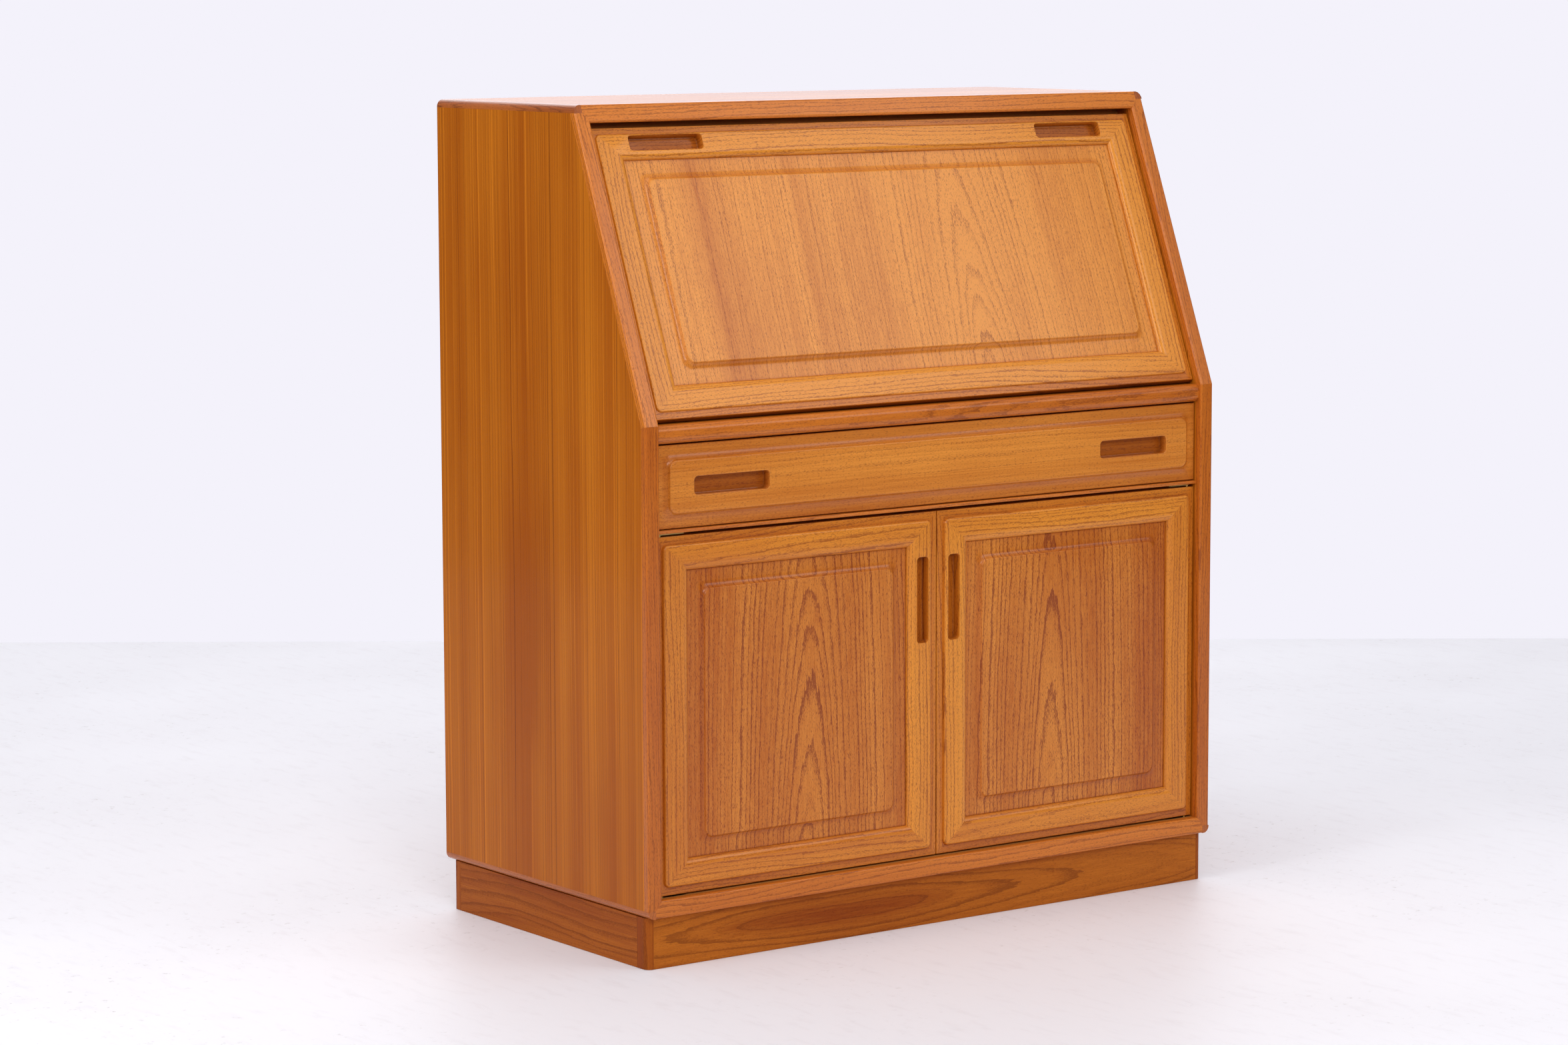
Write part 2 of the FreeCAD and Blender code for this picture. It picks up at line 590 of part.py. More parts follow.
# ---------------------------------------------------------------- writing flap
def flap():
    edge = INNER - FRONT_GAP
    base = -FRONT_SETBACK
    members, hole, level = mitred_frame(
        -edge, edge, FLAP_FOOT, FLAP_HEAD, base, FLAP_THICKNESS, FLAP_STEP, FLAP_STEP_RISE,
        FLAP_STILE, FLAP_RAIL, FLAP_OVOLO, FLAP_PANEL_SINK,
    )
    # the foot is turned about the pivot, so that it clears the deck while the flap swings
    keep = block(-HALF, HALF, FLAP_PIVOT_UP, HEIGHT, base - FLAP_THICKNESS - 5, 0)
    turned = rod_x(-HALF, HALF, FLAP_PIVOT_UP, -FLAP_PIVOT_IN, FLAP_FOOT_ROUND)
    keep = keep.fuse(turned)
    heel = block(-edge, edge, 0, FLAP_FOOT, base - FLAP_THICKNESS, base)
    pin = rod_x(-HALF, HALF, FLAP_PIVOT_UP, -FLAP_PIVOT_IN, PIVOT_PIN_RADIUS + RUNNING_CLEARANCE)
    middle = block(-edge + PIVOT_PIN_REACH, edge - PIVOT_PIN_REACH, 0, HEIGHT, -FLAP_PIVOT_IN * 2, 0)
    pin = pin.cut(middle)
    for name, member in members.items():
        if name == "rail_bottom":
            member = member.fuse(heel).removeSplitter()
        member = member.common(keep).cut(pin)
        if name == "rail_top":
            for sign, side in LEFT_RIGHT:
                member = member.cut(finger_slot(
                    sign * SLOT_OUT, FLAP_HEAD - FLAP_SLOT_DOWN, FLAP_SLOT, base + FLAP_STEP_RISE,
                ))
        member.Placement = SLANTED
        parts["flap_" + name] = member
    panel = framed_panel(hole, FLAP_MARGIN, level, base - FLAP_THICKNESS)
    panel.Placement = SLANTED
    parts["flap_panel"] = panel


# ---------------------------------------------------------------- doors
def doors():
    base = -FRONT_SETBACK
    plates = []
    for sign, side in LEFT_RIGHT:
        edges = sorted((sign * DOOR_GAP_MIDDLE / 2, sign * (INNER - FRONT_GAP)))
        members, hole, level = mitred_frame(
            edges[0], edges[1], DOOR_BOTTOM, DOOR_TOP, base, DOOR_THICKNESS, DOOR_STEP, DOOR_STEP_RISE,
            DOOR_STILE, DOOR_RAIL, DOOR_OVOLO, DOOR_PANEL_SINK,
        )
        inner_stile = "stile_right" if side == "left" else "stile_left"
        slot = finger_slot(sign * DOOR_SLOT_IN, DOOR_TOP - DOOR_SLOT_DROP, DOOR_SLOT, base + DOOR_STEP_RISE)
        members[inner_stile] = members[inner_stile].cut(slot)
        names = {inner_stile: "meeting_stile", "rail_top": "rail_top", "rail_bottom": "rail_bottom"}
        for name, member in members.items():
            member.Placement = UPRIGHT
            member = member.cut(hinge_seat(sign, DOOR_BOTTOM - 1, DOOR_BOTTOM + HINGE_PLATE))
            member = member.cut(hinge_seat(sign, DOOR_TOP - HINGE_PLATE, DOOR_TOP + 1))
            for z0, z1 in hinge_pin_spans():
                x, y = hinge_place(sign)
                member = member.cut(rod_z(x, y, z0, z1, HINGE_PIN_RADIUS + RUNNING_CLEARANCE))
            parts["door_" + side + "_" + names.get(name, "hinge_stile")] = member
        panel = framed_panel(hole, DOOR_MARGIN, level, level - DOOR_PANEL_THICKNESS)
        panel.Placement = UPRIGHT
        parts["door_" + side + "_panel"] = panel
        plates.extend(door_hinges(sign, side))
    parts["hinge_plates"] = Part.makeCompound(plates)
    catches = []
    for sign, side in LEFT_RIGHT:
        front = behind(FRONT_SETBACK + DOOR_THICKNESS + CATCH_GAP)
        catches.append(block(
            sign * CATCH_OUT - CATCH_BLOCK[0] / 2, sign * CATCH_OUT + CATCH_BLOCK[0] / 2,
            front, front + CATCH_BLOCK[1], DIVIDER_UNDER - CATCH_BLOCK[2], DIVIDER_UNDER,
        ))
    parts["magnetic_catches"] = Part.makeCompound(catches)


def hinge_pin_spans():
    """Where the hinge pins stand: in the bottom board's plate and in the bead's plate."""
    bottom = (FLOOR_TOP - HINGE_PLATE, DOOR_BOTTOM + HINGE_PIN_REACH)
    top = (DOOR_TOP - HINGE_PIN_REACH, DIVIDER_TOP - BEAD_HEIGHT)
    return bottom, top


def door_hinges(sign, side):
    """Knife hinges: leaves let into the door's ends, and the fixed plates with pins, returned."""
    x, y = hinge_place(sign)
    bottom, top = hinge_pin_spans()
    low = hinge_seat(sign, FLOOR_TOP - HINGE_PLATE, FLOOR_TOP)
    low = low.fuse(rod_z(x, y, bottom[0], bottom[1], HINGE_PIN_RADIUS)).removeSplitter()
    high = hinge_seat(sign, DIVIDER_TOP - BEAD_HEIGHT - HINGE_PLATE, DIVIDER_TOP - BEAD_HEIGHT)
    high = high.fuse(rod_z(x, y, top[0], top[1], HINGE_PIN_RADIUS)).removeSplitter()
    leaves = []
    for z0 in (DOOR_BOTTOM, DOOR_TOP - HINGE_PLATE):
        leaf = hinge_seat(sign, z0, z0 + HINGE_PLATE)
        leaves.append(leaf.cut(rod_z(x, y, z0 - 1, z0 + 5, HINGE_PIN_RADIUS + RUNNING_CLEARANCE)))
    parts["hinge_leaves_" + side] = Part.makeCompound(leaves)
    return [low, high]


# ---------------------------------------------------------------- wide drawer
def drawer():
    edge = INNER - FRONT_GAP
    base = -FRONT_SETBACK
    front = block(-edge, edge, DRAWER_BOTTOM_Z, DRAWER_TOP_Z, base - DRAWER_FRONT_THICKNESS, base)
    field = raised_field(
        -edge + DRAWER_FIELD_INSET, edge - DRAWER_FIELD_INSET,
        DRAWER_BOTTOM_Z + DRAWER_FIELD_INSET, DRAWER_TOP_Z - DRAWER_FIELD_INSET,
        base, DRAWER_FIELD_RISE, DRAWER_COVE, FIELD_ROUND,
    )
    front = front.fuse(field).removeSplitter()
    middle = (DRAWER_BOTTOM_Z + DRAWER_TOP_Z) / 2
    for sign, side in LEFT_RIGHT:
        front = front.cut(finger_slot(sign * SLOT_OUT, middle, DRAWER_SLOT, base + DRAWER_FIELD_RISE))
    front.Placement = UPRIGHT
    parts["drawer_front"] = front

    y0 = behind(FRONT_SETBACK + DRAWER_FRONT_THICKNESS)
    y1 = y0 + DRAWER_BOX_DEPTH
    z0 = middle - DRAWER_BOX_HEIGHT / 2
    z1 = z0 + DRAWER_BOX_HEIGHT
    out = INNER - DRAWER_BOX_GAP
    groove_x = out - GROOVE_DEPTH
    reach = RUNNER_HEIGHT / 2 + GROOVE_CLEARANCE
    runners = []
    sides = []
    for sign, side in LEFT_RIGHT:
        edges = sorted((sign * out, sign * (out - DRAWER_SIDE)))
        wall = block(edges[0], edges[1], y0, y1, z0, z1)
        edges = sorted((sign * (out + 1), sign * groove_x))
        wall = wall.cut(block(edges[0], edges[1], y0 - 1, y1 + 1, middle - reach, middle + reach))
        sides.append(wall)
        edges = sorted((sign * INNER, sign * (groove_x + GROOVE_CLEARANCE)))
        start = y0 + 8
        runners.append(block(
            edges[0], edges[1], start, start + RUNNER_LENGTH,
            middle - RUNNER_HEIGHT / 2, middle + RUNNER_HEIGHT / 2,
        ))
    parts["drawer_sides"] = Part.makeCompound(sides)
    parts["drawer_runners"] = Part.makeCompound(runners)
    inside = out - DRAWER_SIDE
    parts["drawer_back"] = block(-inside, inside, y1 - DRAWER_SIDE, y1, z0, z1 - 10)
    parts["drawer_bottom"] = block(-inside, inside, y0, y1 - DRAWER_SIDE, z0 + 4, z0 + 4 + DRAWER_BOTTOM)


# ---------------------------------------------------------------- flap pins and folding stays
def stay_points():
    """Fixed pivot, flap pivot and elbow of the folded stay, as (y, z), and both arm lengths."""
    fixed = (PIVOT.y + STAY_BACK_SHARE * FLAP_REACH, PIVOT.z + STAY_UP_SHARE * FLAP_REACH)
    end = PIVOT + UP * STAY_FLAP_UP + IN * STAY_FLAP_IN
    open_end = (PIVOT.y - STAY_FLAP_UP, PIVOT.z + STAY_FLAP_IN)
    stretched = math.dist(fixed, open_end) * STAY_SLACK
    rear = stretched * STAY_REAR_SHARE
    fore = stretched - rear
    gap = math.dist(fixed, (end.y, end.z))
    along = (rear ** 2 - fore ** 2 + gap ** 2) / (2 * gap)
    off = math.sqrt(rear ** 2 - along ** 2)
    dy = (end.y - fixed[0]) / gap
    dz = (end.z - fixed[1]) / gap
    elbow = (fixed[0] + along * dy + off * dz, fixed[1] + along * dz - off * dy)
    return fixed, (end.y, end.z), elbow, rear, fore


def stay_arm(x0, x1, start, end, hole_radius):
    """Flat arm with round ends; the pivot hole is at its start."""
    length = math.dist(start, end)
    half = STAY_WIDE / 2
    arm = Part.makeBox(x1 - x0, length, STAY_WIDE, Vector(0, 0, -half))
    for y in (0, length):
        arm = arm.fuse(Part.makeCylinder(half, x1 - x0, Vector(0, y, 0), Vector(1, 0, 0)))
    arm = arm.removeSplitter()
    arm = arm.cut(Part.makeCylinder(hole_radius, 20, Vector(-10, 0, 0), Vector(1, 0, 0)))
    angle = math.degrees(math.atan2(end[1] - start[1], end[0] - start[0]))
    arm.Placement = Placement(Vector(x0, start[0], start[1]), Rotation(Vector(1, 0, 0), angle))
    return arm


def stays():
    fixed, end, elbow, rear, fore = stay_points()
    plate_in = INNER - STAY_PLATE
    rear_out = plate_in - STAY_GAP - STAY_HEAD
    rear_in = rear_out - STAY_THICK
    fore_out = rear_in - STAY_GAP
    fore_in = fore_out - STAY_THICK
    ear_out = fore_in - STAY_GAP
    ear_in = ear_out - STAY_PLATE
    hole = STAY_PIN_RADIUS + RUNNING_CLEARANCE
    pins = []
    side_plates = []
    rear_arms = []
    fore_arms = []
    brackets = []
    inner_face = FLAP_PIVOT_IN + PIVOT_TO_FACE
    centre = (STAY_FLAP_UP + FLAP_PIVOT_UP, -(STAY_FLAP_IN + FLAP_PIVOT_IN))
    for sign, side in LEFT_RIGHT:
        reach = (sign * (INNER - PIVOT_PIN_REACH), sign * (INNER + PIVOT_PIN_REACH))
        pins.append(rod_x(reach[0], reach[1], PIVOT.y, PIVOT.z, PIVOT_PIN_RADIUS))
        edges = sorted((sign * plate_in, sign * INNER))
        plate = block(
            edges[0], edges[1], fixed[0] - STAY_FOOT[0] / 2, fixed[0] + STAY_FOOT[0] / 2,
            fixed[1] - STAY_FOOT[1] / 2, fixed[1] + STAY_FOOT[1] / 2,
        )
        plate = plate.fuse(rod_x(sign * rear_in, sign * INNER, fixed[0], fixed[1], STAY_PIN_RADIUS))
        side_plates.append(plate.removeSplitter())
        edges = sorted((sign * rear_in, sign * rear_out))
        arm = stay_arm(edges[0], edges[1], fixed, elbow, hole)
        head = rod_x(sign * rear_out, sign * (rear_out + STAY_HEAD), *elbow, STAY_PIN_RADIUS)
        arm = arm.fuse(head)
        rear_arms.append(arm.removeSplitter())
        edges = sorted((sign * fore_in, sign * fore_out))
        arm = stay_arm(edges[0], edges[1], end, elbow, hole)
        head = rod_x(sign * fore_in, sign * (fore_in - STAY_HEAD), *elbow, STAY_PIN_RADIUS)
        arm = arm.fuse(head)
        fore_arms.append(arm.removeSplitter())
        edges = sorted((sign * ear_in, sign * ear_out))
        low = centre[0] - STAY_EAR / 2
        high = centre[0] + STAY_EAR / 2
        ear = block(edges[0], edges[1], low, high, centre[1] - STAY_WIDE / 2, -inner_face)
        edges = sorted((sign * (ear_in - STAY_EAR), sign * ear_out))
        foot = block(edges[0], edges[1], low, high, -inner_face - STAY_PLATE, -inner_face)
        pin = rod_x(sign * ear_in, sign * fore_out, centre[0], centre[1], STAY_PIN_RADIUS)
        bracket = ear.fuse(foot).fuse(pin).removeSplitter()
        bracket.Placement = SLANTED
        brackets.append(bracket)
    parts["flap_pivot_pins"] = Part.makeCompound(pins)
    parts["stay_side_plates"] = Part.makeCompound(side_plates)
    parts["stay_rear_arms"] = Part.makeCompound(rear_arms)
    parts["stay_front_arms"] = Part.makeCompound(fore_arms)
    parts["stay_flap_brackets"] = Part.makeCompound(brackets)


carcass()
interior()
plinth()
flap()
doors()
drawer()
stays()

os.makedirs("parts", exist_ok=True)
for node, shape in parts.items():
    shape.exportStep("parts/" + node + ".step")
    state = "valid" if shape.isValid() else "INVALID"
    print(node, len(shape.Solids), round(shape.Volume / 1000, 1), "cm3", state)
print(len(parts), "nodes; slope", round(SLOPE, 3), "pivot", PIVOT, "stay", stay_points())
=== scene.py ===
# %% [markdown]
# # A teak secretary desk
# This lesson builds the looks of a slant-front secretary desk round its fixed CAD model. The desk has a
# fall flap, one wide drawer and two doors with carved panels, all in lacquered teak. Each step says what
# the real piece is, how it could be made in Blender, and why one way was chosen.
#
# The CAD model sets every size. It is loaded first, and each new piece takes its place from it. Lengths
# are in millimetres where nothing else is said, and MM turns them into Blender's metres.

# %% Load the fixed frame
import json
import math
import random

import bmesh
import bpy
from mathutils import Matrix, Vector


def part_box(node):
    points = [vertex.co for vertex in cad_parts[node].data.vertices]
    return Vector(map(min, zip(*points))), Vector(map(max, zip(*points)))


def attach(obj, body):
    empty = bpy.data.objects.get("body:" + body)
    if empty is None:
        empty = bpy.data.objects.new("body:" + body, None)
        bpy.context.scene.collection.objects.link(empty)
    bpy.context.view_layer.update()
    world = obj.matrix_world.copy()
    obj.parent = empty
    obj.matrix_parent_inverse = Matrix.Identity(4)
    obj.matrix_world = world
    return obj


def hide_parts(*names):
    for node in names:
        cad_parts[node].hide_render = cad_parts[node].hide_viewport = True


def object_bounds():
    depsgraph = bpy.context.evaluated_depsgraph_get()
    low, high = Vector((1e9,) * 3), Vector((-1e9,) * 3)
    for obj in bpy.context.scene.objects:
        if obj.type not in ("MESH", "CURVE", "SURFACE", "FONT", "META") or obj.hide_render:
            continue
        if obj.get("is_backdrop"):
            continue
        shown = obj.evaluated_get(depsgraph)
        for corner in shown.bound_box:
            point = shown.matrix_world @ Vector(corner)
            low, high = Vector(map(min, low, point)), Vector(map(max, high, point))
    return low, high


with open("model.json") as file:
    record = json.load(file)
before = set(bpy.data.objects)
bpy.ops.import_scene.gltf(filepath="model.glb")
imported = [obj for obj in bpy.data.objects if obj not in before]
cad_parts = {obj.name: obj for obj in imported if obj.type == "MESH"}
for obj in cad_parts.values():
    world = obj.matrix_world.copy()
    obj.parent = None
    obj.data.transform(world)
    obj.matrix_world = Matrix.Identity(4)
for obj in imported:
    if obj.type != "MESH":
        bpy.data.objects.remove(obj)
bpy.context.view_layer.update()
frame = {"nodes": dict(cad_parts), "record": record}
MM = 0.001

# %% [markdown]
# ## Camera
# A desk this wide can be seen with a long lens from far away or a short one from near by. A long lens was
# chosen because the desk's upright edges then stay almost parallel, as in a catalogue picture. The camera
# stands to the left of the desk, a little above its top, and looks slightly down.

# %% Camera
LENS = 99.2
CAMERA_PLACE = (-3.3988, -4.5317, 1.2219)    # metres
CAMERA_TURN = (82.731, 0.157, -36.242)       # degrees
NEAREST = 0.1                                # the camera sees from here, in metres
FARTHEST = 60                                # to here

camera_data = bpy.data.cameras.new("camera")
camera_data.lens = LENS
camera_data.clip_start = NEAREST
camera_data.clip_end = FARTHEST
camera = bpy.data.objects.new("camera", camera_data)
camera.location = CAMERA_PLACE
camera.rotation_euler = [math.radians(turn) for turn in CAMERA_TURN]
bpy.context.scene.collection.objects.link(camera)
bpy.context.scene.camera = camera
print("camera", LENS, "mm, at", CAMERA_PLACE)

# %% [markdown]
# ## A small language for shaders
# Node trees are quick to draw by hand but slow to read in a script. The class below wraps one socket, so
# that an expression such as 1 - mask * 0.5 adds the Math nodes that it needs. Every other node comes from
# the one method node(), which sets the node's own settings first and its sockets after them.

# %% Wire: one socket that can be used in sums
class Wire:
    def __init__(self, tree, socket=None):
        self.tree = tree
        self.socket = socket

    def node(self, kind, settings=None, sockets=None, out=0):
        """A new node in the same tree, as the wire of one of its outputs."""
        made = self.tree.nodes.new(kind)
        for key, value in (settings or {}).items():
            setattr(made, key, value)
        for key, value in (sockets or {}).items():
            if isinstance(value, Wire):
                self.tree.links.new(value.socket, made.inputs[key])
            else:
                made.inputs[key].default_value = value
        return Wire(self.tree, made.outputs[out] if len(made.outputs) else None)

    def of(self, name):
        """Another output of the same node."""
        return Wire(self.tree, self.socket.node.outputs[name])

    def maths(self, operation, *values, clamp=False):
        settings = {"operation": operation, "use_clamp": clamp}
        return self.node("ShaderNodeMath", settings, dict(enumerate(values)))

    def __add__(self, other):
        return self.maths("ADD", self, other)

    def __sub__(self, other):
        return self.maths("SUBTRACT", self, other)

    def __rsub__(self, other):
        return self.maths("SUBTRACT", other, self)

    def __mul__(self, other):
        return self.maths("MULTIPLY", self, other)

    def __truediv__(self, other):
        return self.maths("DIVIDE", self, other)

    def __pow__(self, other):
        return self.maths("POWER", self, other)

    def step(self, low, high):
        """Smooth climb from 0 at low to 1 at high. It falls where low is above high."""
        settings = {"interpolation_type": "SMOOTHSTEP"}
        if low < high:
            return self.node("ShaderNodeMapRange", settings, {0: self, 1: low, 2: high})
        return self.node("ShaderNodeMapRange", settings, {0: self, 1: high, 2: low, 3: 1.0, 4: 0.0})

    def stretched(self, *factors):
        """A vector, each part times its own factor."""
        return self.node("ShaderNodeVectorMath", {"operation": "MULTIPLY"}, {0: self, 1: factors})

    def noise(self, scale=1.0, detail=2.0, dimensions="3D", rough=0.5):
        sockets = {"Scale": scale, "Detail": detail, "Roughness": rough}
        sockets["W" if dimensions == "1D" else "Vector"] = self
        return self.node("ShaderNodeTexNoise", {"noise_dimensions": dimensions}, sockets)

    def mix(self, low, high, blend="MIX"):
        """Colour low where this is 0, high where it is 1."""
        settings = {"data_type": "RGBA", "blend_type": blend, "clamp_factor": True}
        return self.node("ShaderNodeMix", settings, {0: self, 6: low, 7: high}, out=2)


print("a wire can:", ", ".join(name for name in vars(Wire) if not name.startswith("_")))


# %% Colours and an empty material
def rgb(red, green, blue):
    """A display colour, 0 to 255, as the linear colour that shaders use."""
    def linear(v):
        v = v / 255
        return v / 12.92 if v <= 0.04045 else ((v + 0.055) / 1.055) ** 2.4
    return (linear(red), linear(green), linear(blue), 1.0)


def shade(colour, times):
    """The same colour, so many times as bright."""
    return (*(min(1.0, part * times) for part in colour[:3]), 1.0)


def new_material(name):
    material = bpy.data.materials.new(name)
    material.use_nodes = True
    material.node_tree.nodes.clear()
    return material, Wire(material.node_tree)


print("mid grey as a linear colour:", [round(part, 3) for part in rgb(128, 128, 128)])

# %% [markdown]
# ## Teak, as one log
# Wood could be painted on each board as a flat pattern. Real boards are slices of a log, and the same
# growth rings give straight lines on one face and tall arches on another. So the shader keeps the log: a
# point's distance from the pith says which ring it is in. Each board carries an attribute, "grain", with
# its places across, along and deep in the log. A carved hollow then bends the lines as real carving does.
#
# The patterns below say how often each thing changes in a metre of the log: across, along and deep. All of
# them change slowly along the grain and fast across it, because the cells of wood are long and narrow.

# %% Rings and growth lines
TRUNK_BENDS = (5.0, 1.3, 5.0)
QUIVER = (60.0, 11.0, 60.0)         # small waves in the rings
FEATHER = (330.0, 26.0, 330.0)      # the ragged side of a growth line
DASHES = (1500.0, 230.0, 1500.0)    # pores, cut open lengthwise
FIBRE = (520.0, 8.0, 520.0)         # threads of lighter and darker cells
PATCH = (16.0, 4.0, 16.0)           # places with more pores, and places with fewer
BEND_SIZE = 6                       # times the finish's wander
QUIVER_SIZE = 3.5                   # mm
FEATHER_SIZE = 3.6                  # mm
UNEVEN_YEARS = 2.6                  # how far good and bad years shift the rings, in years


def ring_radius(place, slow, wander, length):
    """Distance from the pith in metres, with the bends of a real trunk."""
    flat = place.stretched(1.0, 0.0, 1.0)
    radius = flat.node("ShaderNodeVectorMath", {"operation": "LENGTH"}, {0: flat}, out="Value")
    quiver = place.stretched(*QUIVER).noise(1.0, 3.0)
    return radius + (slow - 0.5) * (wander * BEND_SIZE * MM) + (quiver - 0.5) * (QUIVER_SIZE / length * MM)


def growth_lines(place, radius, figure, ring, few, sharp, length):
    """1 on the dark line that ends a year's growth. Years differ in width and in strength."""
    feather = place.stretched(*FEATHER).noise(1.0, 2.0)
    uneven = radius.noise(30.0, 1.0, "1D")
    count = (radius + (feather - 0.5) * (FEATHER_SIZE / length * MM)) / (ring * MM) + uneven * UNEVEN_YEARS
    phase = count.maths("FRACT", count)
    year = count.maths("FLOOR", count)
    weight = year.node("ShaderNodeTexWhiteNoise", {"noise_dimensions": "1D"}, {"W": year})
    near = phase.step(sharp, 0.97) ** 2 * phase.step(1.0, 0.96)
    return near * (weight ** few * 0.8 + 0.2) * figure


print("the pore pattern changes about every", round(1000 / DASHES[1], 1), "mm along the grain and",
      round(1000 / DASHES[0], 1), "mm across")

# %% [markdown]
# ## The finish on the log
# Over the rings come soft bands of colour, short dark pores, fibres, and a thin coat of lacquer. Three more
# attributes change it from piece to piece. One makes a board a little lighter or darker: at random, and on
# the flap also as painted light, for the light that its slope catches. "figure" says how strongly its
# growth
# lines show. The third is painted shade: at 1 it darkens and reddens corners and recesses, and up to 2 it
# darkens slots and gaps further.

# %% Teak
# painted shade: corners and recesses are multiplied by the first colour, slots and gaps also by the second
PAINTED_SHADE_TINT = (0.75, 0.58, 0.36, 1.0)
DEEP_PAINTED_SHADE = (0.3, 0.22, 0.16, 1.0)
COAT_ROUGHNESS = 0.13
REFRACTION = 1.5
BUMP_STRENGTH = 0.25
BUMP_HEIGHT = 0.0004                # metres


def teak(name, light, dark, line, ring=8.0, wander=9.0, lines=0.5, pores=0.6, bands=14.0,
         gloss=0.3, cloud=0.3, threads=0.0, specular=0.16, lacquer=0.38, few=1.0, fine=1.0, contrast=1.0,
         sharp=0.35, length=1.0):
    """Teak finish. ring and wander are in mm; lines, pores and threads are strengths from 0 to 1.
    few is how rare the strong growth lines are, fine how short and thin the pores are, sharp how thin
    a growth line is, length how much longer the fibres and straighter the lines are."""
    light = rgb(*light)
    dark = rgb(*dark)
    line = rgb(*line)
    material, start = new_material(name)
    place = start.node("ShaderNodeAttribute", {"attribute_name": "grain"}, out="Vector")
    tone = start.node("ShaderNodeAttribute", {"attribute_name": "tone"}, out="Fac")
    pooled = start.node("ShaderNodeAttribute", {"attribute_name": "pool"}, out="Fac")
    figure = start.node("ShaderNodeAttribute", {"attribute_name": "figure"}, out="Fac")

    slow = place.stretched(*TRUNK_BENDS).noise(1.0, 2.0)
    radius = ring_radius(place, slow, wander, length)
    growth = growth_lines(place, radius, figure, ring, few, sharp, length)
    dashes = place.stretched(*(often * fine for often in DASHES)).noise(1.0, 2.0, rough=0.6)
    broad = radius.noise(bands, 4.0, "1D", rough=0.55)
    fibre = place.stretched(FIBRE[0], FIBRE[1] / length, FIBRE[2]).noise(1.0, 3.0, rough=0.6)
    patch = place.stretched(*PATCH).noise(1.0, 2.0)
    pore = (dashes + growth * 0.26 + (patch - 0.5) * 0.1).step(0.565, 0.66)

    blend = (broad - 0.5) * (1.7 * contrast) + (fibre - 0.5) * (0.9 * contrast)
    blend = blend + (patch - 0.5) * (cloud * 2) + (slow - 0.5) * (cloud * 4) + 0.5 + tone * 0.5
    colour = blend.maths("MINIMUM", blend, 1.0, clamp=True).mix(dark, light)
    if threads:
        thread = radius.noise(240.0, 1.0, "1D").step(0.62, 0.74) * slow.step(0.35, 0.6)
        colour = (thread * threads).mix(colour, shade(light, 1.25))
    colour = (growth * fibre.step(0.3, 0.6) * lines).mix(colour, line)
    colour = (pore * pores * (figure * 0.5 + 0.5)).mix(colour, shade(line, 0.85))
    # painted shade from the per-vertex value: corners and recesses, then slots and gaps darker still
    colour = pooled.mix(colour, PAINTED_SHADE_TINT, blend="MULTIPLY")
    colour = pooled.step(1.0, 2.0).mix(colour, DEEP_PAINTED_SHADE, blend="MULTIPLY")

    rough = pore * 0.08 + (fibre - 0.5) * 0.14 + gloss
    relief = fibre * 0.25 - pore * 0.6 - growth * 0.12
    bump = relief.node("ShaderNodeBump", {}, {
        "Strength": BUMP_STRENGTH, "Distance": BUMP_HEIGHT, "Height": relief,
    })
    shader = start.node("ShaderNodeBsdfPrincipled", {}, {
        "Base Color": colour, "Roughness": rough, "Normal": bump, "IOR": REFRACTION,
        "Specular IOR Level": specular, "Coat Weight": lacquer, "Coat Roughness": COAT_ROUGHNESS,
    })
    shader.node("ShaderNodeOutputMaterial", {}, {"Surface": shader})
    return material


print("settings that a kind of board may change:", len(teak.__defaults__))

# %% [markdown]
# ## Eight kinds of board
# The sides are sliced straight from the log, so their veneer has fine straight lines. The panels are cut
# near the pith and show arches. Solid edges are redder, the frames are light, and what stays inside is
# plainer and duller. Each kind is one row of numbers for the same shader.

# %% Finishes in wood
WOODS = {
    "teak_veneer": dict(
        light=(202, 118, 28), dark=(164, 82, 14), line=(92, 38, 8), ring=6.0, lines=0.9, pores=0.1,
        wander=2.5, threads=0.6, specular=0.06, lacquer=0.15, few=1.8, contrast=0.9, sharp=0.62, length=6.0,
    ),
    "teak_lipping": dict(
        light=(216, 124, 38), dark=(170, 80, 20), line=(116, 42, 10), ring=3.5, lines=0.28, pores=0.45,
    ),
    "teak_strip": dict(
        light=(194, 108, 46), dark=(148, 72, 28), line=(92, 40, 14), ring=3.0, lines=0.4, pores=0.4,
    ),
    "teak_plinth": dict(
        light=(196, 112, 32), dark=(144, 66, 14), line=(100, 38, 8), ring=9.0, lines=0.4, pores=0.35,
        wander=14.0, gloss=0.36, specular=0.08, lacquer=0.05,
    ),
    "teak_frame": dict(
        light=(230, 146, 48), dark=(188, 98, 28), line=(138, 52, 18), ring=5.0, lines=0.18, pores=0.56,
        fine=1.1,
    ),
    "teak_panel": dict(
        light=(233, 150, 60), dark=(182, 93, 20), line=(134, 46, 12), ring=6.5, lines=0.4, pores=0.7,
        wander=4.0,
    ),
    "inner_wood": dict(
        light=(216, 154, 84), dark=(180, 116, 54), line=(136, 80, 36), ring=9.0, lines=0.4, pores=0.3,
        gloss=0.42, lacquer=0.1,
    ),
    "drawer_wood": dict(
        light=(226, 190, 140), dark=(200, 158, 106), line=(168, 122, 76), ring=6.0, lines=0.35, pores=0.15,
        gloss=0.5, lacquer=0.0,
    ),
}
FINISH = {name: teak(name, **recipe) for name, recipe in WOODS.items()}
print("teak finishes:", sorted(FINISH))

# %% [markdown]
# ## Brass and plastic
# The hinges and stays are rolled brass, dulled by handling, and the catches are moulded plastic. Both are
# one shader with a little noise: a metal's colour hardly changes, but its roughness does, and that is what
# makes it look used.

# %% Brass and plastic
STAINS = 90.0                       # per metre
SCRATCHES = (900.0, 900.0, 60.0)    # fine upright ones, per metre


